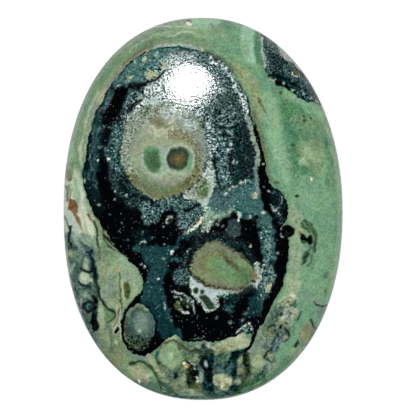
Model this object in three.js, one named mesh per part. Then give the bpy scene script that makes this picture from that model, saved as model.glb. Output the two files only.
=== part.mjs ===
// A star galaxy jasper cabochon: one oval stone, ground flat on its back, with a small bevel,
// a low upright edge and a polished dome. It lies on its back.
// Millimetres, +Z up. The origin is the middle of the flat back, and +Y is the narrower end.
import * as THREE from "three";

const LENGTH = 40; // along Y
const WIDTH = 29.2; // along X
const THICKNESS = 8; // from the back to the top of the dome
const GIRDLE_HEIGHT = 1.9; // where the edge turns over into the dome
const BEVEL_HEIGHT = 0.45; // the ground corner between the back and the edge
const BEVEL_SHARE = 0.035; // its width, as a share of the way out from the middle
const GIRDLE_LEAN_SHARE = 0.004; // how far the edge leans in by its top, in the same measure
const WIDEST_Y = -0.27; // the oval is widest a little below its middle

// How full each quarter of the oval is: 2 is an ellipse, and more is squarer.
const FULLNESS = { upperRight: 2.09, upperLeft: 2.23, lowerLeft: 2.28, lowerRight: 2.19 };
// The dome's section: how flat it runs over the middle, and how upright it comes down.
const CROWN_FULLNESS = 2.15;
const SHOULDER_FULLNESS = 1.95;

const SECTORS = 112; // facets round the oval
const DOME_RINGS = 20; // facets from the edge to the top of the dome

// The distance from the widest line's middle to the oval, at an angle from +X.
function reach(angle) {
  const across = Math.cos(angle);
  const along = Math.sin(angle);
  const upper = along >= 0;
  const right = across >= 0;
  const halfLength = upper ? LENGTH / 2 - WIDEST_Y : LENGTH / 2 + WIDEST_Y;
  const fullness = upper
    ? right
      ? FULLNESS.upperRight
      : FULLNESS.upperLeft
    : right
      ? FULLNESS.lowerRight
      : FULLNESS.lowerLeft;
  const sum =
    Math.abs(across / (WIDTH / 2)) ** fullness + Math.abs(along / halfLength) ** fullness;
  return sum ** (-1 / fullness);
}

// The section from the middle of the back round to the top of the dome. Each point holds the
// share of the way out to the oval, and the height.
function section() {
  const edgeShare = 1 - GIRDLE_LEAN_SHARE;
  const points = [
    new THREE.Vector2(0, 0),
    new THREE.Vector2(1 - BEVEL_SHARE, 0),
    new THREE.Vector2(1, BEVEL_HEIGHT),
  ];
  for (let ring = 0; ring < DOME_RINGS; ring++) {
    const climb = ((ring / DOME_RINGS) * Math.PI) / 2;
    const share = edgeShare * Math.cos(climb) ** (2 / CROWN_FULLNESS);
    const rise = Math.sin(climb) ** (2 / SHOULDER_FULLNESS);
    points.push(new THREE.Vector2(share, GIRDLE_HEIGHT + (THICKNESS - GIRDLE_HEIGHT) * rise));
  }
  points.push(new THREE.Vector2(0, THICKNESS));
  return points;
}

// The section spun into a round stone of radius 1, stood on its back, then drawn out to the oval.
function cabochonGeometry() {
  const geometry = new THREE.LatheGeometry(section(), SECTORS);
  geometry.rotateX(Math.PI / 2);
  const place = geometry.getAttribute("position");
  for (let i = 0; i < place.count; i++) {
    const stretch = reach(Math.atan2(place.getY(i), place.getX(i)));
    place.setXY(i, place.getX(i) * stretch, place.getY(i) * stretch + WIDEST_Y);
  }
  geometry.computeVertexNormals();
  return geometry;
}

function cabochon() {
  const polishedJasper = new THREE.MeshStandardMaterial({
    color: new THREE.Color(0.3, 0.42, 0.31),
    roughness: 0.2,
    metalness: 0,
  });
  const mesh = new THREE.Mesh(cabochonGeometry(), polishedJasper);
  mesh.name = "cabochon";
  return mesh;
}

const stone = new THREE.Group();
stone.add(cabochon());

export default stone;
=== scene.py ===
import logging
import math
from abc import ABC, abstractmethod
from dataclasses import dataclass, field
from enum import Enum

import bpy
import numpy as np
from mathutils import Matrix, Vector


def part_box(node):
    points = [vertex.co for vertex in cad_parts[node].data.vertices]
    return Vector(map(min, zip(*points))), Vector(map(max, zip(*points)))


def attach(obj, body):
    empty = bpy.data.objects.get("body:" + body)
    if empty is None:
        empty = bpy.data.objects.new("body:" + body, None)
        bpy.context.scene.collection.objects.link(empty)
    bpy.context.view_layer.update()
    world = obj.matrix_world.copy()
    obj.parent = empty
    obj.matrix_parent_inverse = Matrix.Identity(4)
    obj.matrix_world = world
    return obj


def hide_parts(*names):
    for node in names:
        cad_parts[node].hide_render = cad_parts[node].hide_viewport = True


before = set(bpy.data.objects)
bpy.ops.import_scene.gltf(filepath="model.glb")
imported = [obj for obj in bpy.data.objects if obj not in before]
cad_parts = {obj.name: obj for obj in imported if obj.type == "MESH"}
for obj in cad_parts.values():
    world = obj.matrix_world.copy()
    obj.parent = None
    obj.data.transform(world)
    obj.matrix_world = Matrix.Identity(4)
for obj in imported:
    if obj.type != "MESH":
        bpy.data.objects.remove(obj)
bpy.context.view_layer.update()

LOG = logging.getLogger("jasper")
MM = 0.001
NODE = "cabochon"
BODY = "root"

Point = tuple[float, float]
Run = tuple[float, ...]  # x and y of each point in turn, in pixels

RED_SHARE = 0.3  # of the lightness of a colour
BLUE_SHARE = 0.11
CHANNELS = ("light", "leaf", "straw")
SRGB_OFFSET = 0.055
SRGB_POWER = 2.4
FAR = 9.0  # no distance counts past this many pixels
HUGE = 1e9  # farther than any distance, squared
TINY = 1e-9  # keeps a division from a zero


class Tint(Enum):
    """The rock's colours, as seen under the studio light, in sRGB from 0 to 255."""

    SAGE = (133, 156, 135)
    MEADOW = (131, 158, 120)
    FERN = (109, 142, 106)
    LICHEN = (140, 170, 131)
    JADE = (112, 158, 124)
    JADE_DEEP = (91, 140, 105)
    JADE_MID = (105, 146, 113)
    JADE_SOFT = (120, 163, 128)
    MINT = (152, 195, 167)
    MINT_PALE = (163, 200, 168)
    MINT_STRIP = (137, 177, 141)
    BOTTLE = (90, 130, 97)
    CELADON = (146, 171, 143)
    PALE_STREAK = (188, 200, 182)
    TAN_GREEN = (143, 163, 126)
    TAN_PALE = (156, 177, 143)
    TAN = (138, 143, 107)
    OLIVE_GREY = (121, 139, 112)
    OLIVE = (103, 111, 74)
    OLIVE_DARK = (62, 68, 38)
    MOSS = (76, 86, 48)
    CREAM = (190, 205, 182)
    CREAM_WARM = (172, 176, 145)
    CREAM_BRIGHT = (214, 216, 192)
    WHITE = (232, 238, 228)
    ORANGE = (190, 150, 105)
    RUST = (116, 88, 58)
    BROWN = (96, 84, 58)
    SLATE = (80, 108, 99)
    SLATE_PALE = (110, 133, 128)
    SLATE_DEEP = (56, 78, 76)
    SILVER = (178, 194, 190)
    TEAL = (60, 100, 97)
    TEAL_CAP = (72, 110, 106)
    TEAL_GREY = (70, 98, 98)
    TEAL_DEEP = (27, 63, 65)
    TEAL_DARK = (8, 44, 46)
    INK = (8, 20, 24)
    JET = (2, 4, 7)
    HALO = (139, 151, 136)
    HALO_PALE = (151, 162, 135)
    HALO_CREAM = (168, 178, 146)
    KERNEL = (74, 110, 73)
    KERNEL_CORE = (70, 96, 62)
    KERNEL_DARK = (62, 72, 54)
    KERNEL_BROWN = (121, 118, 86)
    KERNEL_RIM = (158, 182, 160)
    TAN_ROSE = (150, 140, 118)
    PEWTER = (164, 170, 160)
    BARK = (138, 141, 108)
    BROWN_WARM = (122, 88, 56)
    BROWN_PALE = (140, 112, 84)
    BEIGE = (152, 158, 144)
    GREEN_DEEP = (44, 62, 42)
    SEED_GREEN = (108, 142, 102)
    MINT_FADED = (146, 178, 152)
    SILVER_PALE = (184, 204, 196)

    def channels(self) -> dict[str, float]:
        """The tint as lightness, how much its green leads its red, and how much it leads its blue."""
        red, green, blue = (part / 255 for part in self.value)
        return {"light": RED_SHARE * red + (1 - RED_SHARE - BLUE_SHARE) * green + BLUE_SHARE * blue,
                "leaf": green - red, "straw": green - blue}


@dataclass(frozen=True)
class PhotoView:
    """The straight-down view in which the markings were traced, in pixels of a 416 by 416 frame."""

    frame_pixels: float = 416
    pixels_per_mm: float = 9.59
    stone_x: float = 203.1
    stone_y: float = 208.86
    lens_mm: float = 200
    sensor_mm: float = 36

    @property
    def distance(self) -> float:
        """How far the camera stands above the stone's edge, in metres."""
        return self.frame_pixels / self.pixels_per_mm * self.lens_mm / self.sensor_mm * MM

    @property
    def camera_x(self) -> float:
        """The camera's place across the stone, in metres."""
        return (self.frame_pixels / 2 - self.stone_x) / self.pixels_per_mm * MM

    @property
    def camera_y(self) -> float:
        """The camera's place along the stone, in metres."""
        return (self.stone_y - self.frame_pixels / 2) / self.pixels_per_mm * MM

    def pixels(self, places: np.ndarray, edge_height: float) -> np.ndarray:
        """Where places on the stone appear in the view.

        Args:
            places: rows of x, y and z, in metres.
            edge_height: the height at which the scale holds, in metres.

        Returns:
            Rows of x and y in pixels, with y running down.
        """
        nearer = self.distance / (self.distance - np.maximum(places[:, 2] - edge_height, 0))
        across = (places[:, 0] - self.camera_x) / MM * self.pixels_per_mm * nearer
        along = (places[:, 1] - self.camera_y) / MM * self.pixels_per_mm * nearer
        return np.stack([self.frame_pixels / 2 + across, self.frame_pixels / 2 - along], 1)


def pairs(points: Run) -> np.ndarray:
    """The points as rows of x and y."""
    return np.array(points, float).reshape(-1, 2)


def rounded(points: Run, closed: bool) -> np.ndarray:
    """A smooth run of points through the given ones.

    Args:
        points: the traced points.
        closed: whether the last one joins the first.

    Returns:
        Rows of x and y, with a few more points between each pair.
    """
    spots = pairs(points)
    if len(spots) < 3:
        return spots
    if closed:
        spots = np.concatenate([spots[-1:], spots, spots[:2]])
    else:
        spots = np.concatenate([2 * spots[:1] - spots[1:2], spots, 2 * spots[-1:] - spots[-2:-1]])
    before, start, end, after = spots[:-3], spots[1:-2], spots[2:-1], spots[3:]
    run = []
    for t in (0, 0.25, 0.5, 0.75):
        run.append(0.5 * (2 * start + (end - before) * t + (2 * before - 5 * start + 4 * end - after) * t**2
                          + (3 * start - before - 3 * end + after) * t**3))
    path = np.stack(run, 1).reshape(-1, 2)
    return path if closed else np.concatenate([path, spots[-2:-1]])


def distance_to(points: np.ndarray, path: np.ndarray) -> tuple[np.ndarray, np.ndarray]:
    """How far points lie from a path, and how far along it they are.

    Args:
        points: rows of x and y.
        path: rows of x and y, joined in order.

    Returns:
        The distances, and the nearest places along the path from 0 to 1.
    """
    best = np.full(len(points), HUGE)
    along = np.zeros(len(points))
    for index in range(len(path) - 1):
        start, way = path[index], path[index + 1] - path[index]
        share = np.clip((points - start) @ way / max(float(way @ way), TINY), 0, 1)
        gap = ((points - start - share[:, None] * way) ** 2).sum(1)
        nearer = gap < best
        best[nearer] = gap[nearer]
        along[nearer] = (index + share[nearer]) / (len(path) - 1)
    return np.sqrt(best), along


class Shape(ABC):
    """A traced shape in the view."""

    @abstractmethod
    def box(self) -> tuple[np.ndarray, np.ndarray]:
        """The lowest and highest corner, in pixels."""

    @abstractmethod
    def inside(self, points: np.ndarray) -> np.ndarray:
        """How deep inside the shape each point lies, in pixels: negative outside."""


@dataclass(frozen=True)
class Patch(Shape):
    """A closed outline."""

    outline: Run

    def box(self) -> tuple[np.ndarray, np.ndarray]:
        """The lowest and highest corner, in pixels."""
        spots = pairs(self.outline)
        return spots.min(0), spots.max(0)

    def inside(self, points: np.ndarray) -> np.ndarray:
        """How deep inside the outline each point lies, in pixels: negative outside.

        Args:
            points: rows of x and y, in pixels.

        Returns:
            The depths, one for each point.
        """
        path = rounded(self.outline, True)
        path = np.concatenate([path, path[:1]])
        gap, _ = distance_to(points, path)
        within = np.zeros(len(points), bool)
        for start, end in zip(path[:-1], path[1:]):
            if start[1] == end[1]:
                continue
            crosses = (start[1] > points[:, 1]) != (end[1] > points[:, 1])
            slope = (end[0] - start[0]) / (end[1] - start[1])
            within ^= crosses & (points[:, 0] < start[0] + slope * (points[:, 1] - start[1]))
        return np.where(within, gap, -gap)


@dataclass(frozen=True)
class Oval(Shape):
    """An ellipse: its centre, its half sizes, and how far it is turned, in degrees."""

    x: float
    y: float
    across: float
    along: float
    turn: float = 0

    def box(self) -> tuple[np.ndarray, np.ndarray]:
        """The lowest and highest corner, in pixels."""
        middle, reach = np.array([self.x, self.y]), max(self.across, self.along)
        return middle - reach, middle + reach

    def inside(self, points: np.ndarray) -> np.ndarray:
        """How deep inside the ellipse each point lies, in pixels: negative outside.

        Args:
            points: rows of x and y, in pixels.

        Returns:
            The depths, one for each point.
        """
        angle = math.radians(self.turn)
        x, y = points[:, 0] - self.x, points[:, 1] - self.y
        a = (x * math.cos(angle) + y * math.sin(angle)) / self.across
        b = (y * math.cos(angle) - x * math.sin(angle)) / self.along
        level = np.maximum(np.hypot(a, b), 1e-6)
        return (1 - level) * level / np.maximum(np.hypot(a / self.across, b / self.along), 1e-6)


@dataclass(frozen=True)
class Stroke(Shape):
    """A line of some width, which may change to another width at its end."""

    path: Run
    width: float
    end_width: float | None = None

    def box(self) -> tuple[np.ndarray, np.ndarray]:
        """The lowest and highest corner, in pixels."""
        spots = pairs(self.path)
        return spots.min(0) - self.width, spots.max(0) + self.width

    def inside(self, points: np.ndarray) -> np.ndarray:
        """How deep inside the line each point lies, in pixels: negative outside.

        Args:
            points: rows of x and y, in pixels.

        Returns:
            The depths, one for each point.
        """
        gap, along = distance_to(points, rounded(self.path, False))
        last = self.width if self.end_width is None else self.end_width
        return (self.width + (last - self.width) * along) / 2 - gap


@dataclass(frozen=True)
class Edge(Shape):
    """The band that runs along another shape's edge, out from it or, if negative, into it."""

    of: Shape
    out: float
    width: float

    def box(self) -> tuple[np.ndarray, np.ndarray]:
        """The lowest and highest corner, in pixels."""
        low, high = self.of.box()
        grow = max(self.out, 0) + self.width
        return low - grow, high + grow

    def inside(self, points: np.ndarray) -> np.ndarray:
        """How deep inside the band each point lies, in pixels: negative outside."""
        return self.width / 2 - np.abs(self.of.inside(points) + self.out)


@dataclass(frozen=True)
class Paint:
    """A shape laid in one tint, with an edge that fades over some pixels."""

    shape: Shape
    tint: Tint
    soft: float = 2.5
    cover: float = 1.0


def ovals(tint: Tint, *rows: tuple[float, ...]) -> tuple[Paint, ...]:
    """Ellipses in one tint, each given as an Oval's numbers."""
    return tuple(Paint(Oval(*row), tint) for row in rows)


def strokes(tint: Tint, *rows: tuple) -> tuple[Paint, ...]:
    """Lines in one tint, each given as a path and its widths."""
    return tuple(Paint(Stroke(*row), tint) for row in rows)


def patches(tint: Tint, *outlines: Run) -> tuple[Paint, ...]:
    """Outlines in one tint."""
    return tuple(Paint(Patch(outline), tint) for outline in outlines)


def oval(tint: Tint, soft: float, cover: float, *numbers: float) -> Paint:
    """A blended ellipse, given as an Oval's numbers."""
    return Paint(Oval(*numbers), tint, soft, cover)


def stroke(tint: Tint, soft: float, cover: float, path: Run, *widths: float) -> Paint:
    """A blended line, given as a Stroke's path and widths."""
    return Paint(Stroke(path, *widths), tint, soft, cover)


def patch(tint: Tint, soft: float, cover: float, *outline: float) -> Paint:
    """A blended outline, given as the x and y of its points in turn."""
    return Paint(Patch(outline), tint, soft, cover)


def margin_pick(shape: Shape, points: np.ndarray, margin: float) -> np.ndarray:
    """The indices of the points in and near a shape's box."""
    low, high = shape.box()
    return np.flatnonzero(((points > low - margin) & (points < high + margin)).all(1))


@dataclass
class Wash:
    """A ground tint, into which paints blend softly in order."""

    name: str
    ground: Tint
    paints: tuple[Paint, ...]
    wander: float = 1.0

    def fields(self, points: np.ndarray) -> dict[str, np.ndarray]:
        """The tint's channels at each point, by attribute name.

        Args:
            points: rows of x and y, in pixels.

        Returns:
            The values, one array for each attribute.
        """
        values = {name: np.full(len(points), value) for name, value in self.ground.channels().items()}
        for paint in self.paints:
            near = margin_pick(paint.shape, points, paint.soft)
            blend = np.clip(paint.shape.inside(points[near]) / paint.soft + 0.5, 0, 1)
            blend = blend * blend * (3 - 2 * blend) * paint.cover
            for name, value in paint.tint.channels().items():
                values[name][near] += (value - values[name][near]) * blend
        return {f"{self.name}_{name}": value for name, value in values.items()}


@dataclass
class Inlay:
    """Crisp marks: a distance to the nearest edge, and the tint of the nearest mark."""

    name: str
    paints: tuple[Paint, ...]

    def fields(self, points: np.ndarray) -> dict[str, np.ndarray]:
        """The distance and the tint's channels at each point, by attribute name.

        Args:
            points: rows of x and y, in pixels.

        Returns:
            The values, one array for each attribute.
        """
        depth = np.full(len(points), -FAR)
        values = {name: np.zeros(len(points)) for name in CHANNELS}
        for paint in self.paints:
            near = margin_pick(paint.shape, points, FAR)
            inside = np.clip(paint.shape.inside(points[near]), -FAR, FAR)
            deeper = inside > depth[near]
            place = near[deeper]
            depth[place] = inside[deeper]
            for name, value in paint.tint.channels().items():
                values[name][place] = value
        named = {f"{self.name}_{name}": value for name, value in values.items()}
        return {f"{self.name}_edge": depth, **named}


@dataclass
class Region:
    """Shapes that belong together, some of them cut out again, as one distance field."""

    name: str
    added: tuple[Shape, ...]
    cut: tuple[Shape, ...] = ()
    soft: float = 1.0

    def fields(self, points: np.ndarray) -> dict[str, np.ndarray]:
        """How deep inside the region each point lies, over its softness, by attribute name.

        Args:
            points: rows of x and y, in pixels.

        Returns:
            The values, as one array.
        """
        depth = np.full(len(points), -FAR * self.soft)
        for shape in self.added:
            near = margin_pick(shape, points, FAR * self.soft)
            depth[near] = np.maximum(depth[near], shape.inside(points[near]))
        for shape in self.cut:
            near = margin_pick(shape, points, FAR * self.soft)
            depth[near] = np.minimum(depth[near], -shape.inside(points[near]))
        return {self.name: np.clip(depth / self.soft, -FAR, FAR)}


MAIN_POOL: Run = (
    150, 50, 163, 47, 176, 46.5, 190, 48.5, 205, 52, 219, 59, 231, 72, 241, 86, 248, 100, 252, 115,
    257, 128, 261.5, 145, 265, 160, 268.5, 178, 270.5, 185, 281, 193, 287.5, 203, 287.5, 218, 283.5, 228,
    289, 238, 288.5, 255, 285, 275, 279, 293, 271, 307, 263.4, 321, 257, 334, 252, 345, 246, 354, 244, 350,
    249, 345, 252, 336, 249, 332.6, 242, 333, 236, 336, 228, 338, 213, 341, 197, 341, 183, 341, 175, 334,
    166, 340, 158, 348, 147, 355, 134, 353, 123, 340, 121, 322, 127, 307, 136, 297, 143, 289, 142, 278,
    136, 267, 126, 258, 117, 250, 109, 237, 101, 226, 95, 214, 88, 200, 84, 186, 83, 170, 86, 150, 89, 133,
    95, 118, 101, 103, 108, 89, 120, 71.5, 132, 61, 144, 52,
)
CORNER_POOL: Run = (
    259.5, 24, 261.5, 36, 262.5, 45, 262.5, 53, 263, 60, 264, 67, 267, 73, 269.5, 79, 273, 81, 278, 84,
    283, 88, 288, 90, 293, 92, 299, 97, 305, 101, 312, 102, 320, 104, 345, 106, 330, 60, 295, 20,
)
HALO: Run = (
    130, 118, 123, 132, 120.5, 148, 121, 162, 125, 173, 130, 181, 136, 188, 143, 193.5, 150, 197.6,
    157, 199.5, 165, 199, 175, 196, 183, 193, 191, 188, 198, 181, 204, 170, 207, 158, 207, 146, 204, 132,
    197, 118, 186, 108, 170, 102, 153, 103, 140, 109,
)
SEED: Run = (
    191.5, 264, 196, 251, 203, 244.6, 212, 241.6, 220, 241.6, 229, 246.6, 236, 251.4, 243, 257, 248, 262,
    254, 267, 257, 272, 254, 279, 249, 283.6, 242, 287, 235, 289.6, 225, 289, 215, 287, 207, 283, 200, 280,
    194, 276, 190.5, 270,
)
KNOT: Run = (
    200, 176, 206, 168, 210, 158, 213.6, 170, 214, 180, 214, 190, 211, 198, 207, 206, 202, 209, 198, 203,
    192, 199.6, 186, 198, 184, 193, 192, 188,
)
VEIL: Run = (
    190.6, 276, 198, 280, 212, 287, 232, 290, 242, 286.6, 249, 278, 256, 264, 262, 268, 260, 280, 257, 288,
    250, 285, 240, 291.6, 228, 295.6, 217.6, 298, 216, 305, 213, 310, 209, 311.4, 205, 307.6, 199, 302,
    193.6, 298.6, 191, 292, 190, 284,
)
BUD: Run = (
    137, 304, 144, 305, 149, 310, 153, 318, 154.4, 328, 152.6, 338, 147, 347, 141, 350.5, 133, 348,
    127, 341, 124, 332, 124, 321, 128, 311,
)

# The jade matrix, from its wide zones to its small ones, with what fills the orbs.
ROCK_ZONES: tuple[Paint, ...] = (
    patch(Tint.SAGE, 6, 1, 60, 205, 60, 150, 72, 115, 95, 72, 125, 40, 160, 18, 195, 14, 190, 24, 165, 31,
        140, 42, 118, 57, 101, 75, 88, 100, 80, 125, 75, 150, 72, 175),
    stroke(Tint.MEADOW, 6, 1, (78, 160, 84, 130, 96, 98, 112, 74, 130, 56, 150, 44, 175, 38, 200, 42), 10),
    patch(Tint.LICHEN, 8, 1, 150, 33, 175, 26, 200, 24, 222, 26, 232, 40, 225, 50, 205, 46, 180, 40,
        160, 41),
    patch(Tint.MINT_PALE, 6, 0.9, 196, 14, 222, 14, 218, 25, 203, 27, 192, 24),
    stroke(Tint.FERN, 5, 0.8, (140, 49, 154, 42, 168, 38, 184, 37, 200, 40, 214, 45), 5),
    stroke(Tint.FERN, 5, 0.7, (91, 103, 99, 88, 108, 74, 120, 61, 134, 51), 4),
    patch(Tint.JADE_SOFT, 6, 1, 232, 24, 258, 30, 262, 66, 250, 72, 238, 62, 228, 46),
    patch(Tint.MINT, 4, 1, 241, 26, 255, 30, 255, 64, 249, 68, 243, 54),
    oval(Tint.TAN_GREEN, 5, 0.6, 246, 48, 3.5, 9),
    stroke(Tint.BOTTLE, 3, 1, (257, 28, 257, 46, 259, 62), 4.5, 6),
    patch(Tint.JADE, 6, 0.8, 214, 38, 236, 46, 246, 62, 236, 66, 222, 56, 206, 48),
    patch(Tint.JADE, 8, 1, 226, 48, 240, 58, 262, 72, 272, 88, 282, 110, 286, 150, 292, 185, 276, 186,
        270, 170, 266, 150, 260, 122, 252, 98, 240, 76),
    patch(Tint.TAN_GREEN, 6, 1, 230, 60, 244, 66, 256, 80, 262, 100, 266, 116, 258, 120, 252, 104, 246, 90,
        238, 76),
    oval(Tint.TAN, 5, 0.35, 256, 92, 3.5, 12, -20),
    stroke(Tint.OLIVE, 5, 0.75, (255, 114, 259, 130, 264, 146, 267, 164, 271, 180), 6, 4),
    patch(Tint.MINT_STRIP, 4, 1, 264, 92, 272, 92, 277, 112, 282, 138, 289, 165, 293, 178, 284, 184,
        275, 162, 269, 135, 263, 112),
    oval(Tint.TAN_GREEN, 4, 0.5, 275, 120, 3, 10, -8),
    patch(Tint.JADE_DEEP, 6, 1, 279, 92, 296, 98, 312, 106, 324, 118, 334, 150, 330, 182, 316, 176,
        298, 176, 290, 150, 284, 122),
    patch(Tint.MINT_STRIP, 5, 0.8, 286, 90, 302, 98, 318, 106, 326, 120, 318, 122, 300, 108, 284, 98),
    patch(Tint.TAN_GREEN, 8, 0.45, 292, 116, 316, 118, 330, 132, 322, 140, 300, 134),
    patch(Tint.TAN_GREEN, 6, 0.75, 302, 142, 320, 140, 325, 156, 320, 176, 306, 170, 299, 156),
    oval(Tint.TAN_PALE, 5, 0.8, 309, 152, 5, 6, -30),
    patch(Tint.CELADON, 10, 0.7, 318, 96, 345, 130, 350, 230, 345, 280, 336, 300, 330, 280, 338, 240,
        336, 180, 328, 140),
    patch(Tint.JADE_SOFT, 10, 1, 288, 178, 330, 184, 336, 240, 326, 300, 318, 330, 296, 335, 288, 300,
        296, 240),
    oval(Tint.JADE_MID, 8, 0.7, 328, 165, 6, 18),
    oval(Tint.JADE, 10, 0.6, 322, 232, 10, 22),
    oval(Tint.MINT_STRIP, 8, 0.5, 306, 200, 12, 8, 20),
    patch(Tint.TAN_PALE, 5, 0.85, 289, 208, 301, 212, 302, 232, 302, 250, 298, 290, 288, 312, 281, 302,
        287, 276, 291, 250),
    oval(Tint.TAN_GREEN, 4, 0.8, 292, 215, 3.5, 7),
    oval(Tint.HALO_CREAM, 4, 0.6, 295, 254, 3.5, 6),
    oval(Tint.HALO_CREAM, 4, 0.8, 295, 287, 5, 6),
    patch(Tint.SAGE, 10, 1, 262, 320, 285, 300, 322, 300, 330, 330, 300, 372, 262, 398, 230, 402, 236, 372),
    patch(Tint.OLIVE_GREY, 6, 0.7, 256, 338, 270, 316, 284, 298, 292, 312, 278, 330, 264, 360, 252, 388,
        246, 388),
    patch(Tint.JADE, 7, 0.9, 296, 300, 318, 306, 312, 326, 298, 346, 282, 364, 276, 352, 292, 330),
    patch(Tint.CREAM, 5, 1, 60, 196, 60, 180, 66, 174, 76, 166, 82, 180, 86, 200, 95, 220, 97, 238,
        84, 240, 66, 236),
    oval(Tint.MINT_STRIP, 4, 0.8, 77, 188, 3.4, 14, -4),
    oval(Tint.MINT_STRIP, 4, 0.9, 71, 156, 4.5, 13, 8),
    patch(Tint.SLATE, 5, 1, 62, 236, 88, 238, 94, 262, 94, 300, 98, 335, 102, 352, 84, 346, 62, 300),
    patch(Tint.SLATE_PALE, 5, 1, 72, 232, 96, 238, 95, 256, 78, 264, 70, 250),
    patch(Tint.CELADON, 5, 0.8, 74, 234, 92, 238, 90, 248, 76, 244),
    stroke(Tint.SILVER, 2, 0.6, (74, 237, 79, 246, 84, 252), 2.4),
    stroke(Tint.SLATE_DEEP, 2, 0.6, (79, 238, 84, 245, 90, 249), 1.6),
    patch(Tint.TAN_GREEN, 6, 1, 96, 222, 105, 232, 113, 246, 124, 258, 136, 268, 142, 280, 141, 290,
        128, 302, 121, 314, 120, 330, 112, 340, 100, 330, 98, 300, 100, 262, 94, 240),
    patch(Tint.CELADON, 6, 0.8, 116, 258, 130, 262, 139, 274, 140, 286, 132, 296, 120, 284),
    patch(Tint.SAGE, 6, 0.9, 102, 276, 112, 272, 116, 284, 112, 298, 103, 296),
    patch(Tint.FERN, 5, 0.6, 104, 240, 112, 246, 112, 256, 104, 258),
    patch(Tint.OLIVE_GREY, 7, 1, 98, 322, 112, 326, 122, 336, 128, 350, 120, 364, 104, 360, 94, 344),
    patch(Tint.TAN, 6, 0.6, 112, 352, 130, 354, 128, 366, 118, 372, 110, 364),
    patch(Tint.MEADOW, 6, 0.9, 128, 352, 148, 358, 160, 376, 166, 396, 140, 394, 122, 376),
    patch(Tint.SLATE, 6, 0.85, 134, 382, 158, 380, 178, 390, 205, 394, 230, 394, 232, 404, 150, 404),
    patch(Tint.OLIVE_GREY, 6, 1, 163, 343, 176, 336, 190, 344, 214, 346, 214, 390, 176, 392, 160, 370),
    patch(Tint.SLATE, 6, 1, 200, 350, 246, 350, 246, 394, 204, 394),
)
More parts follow.
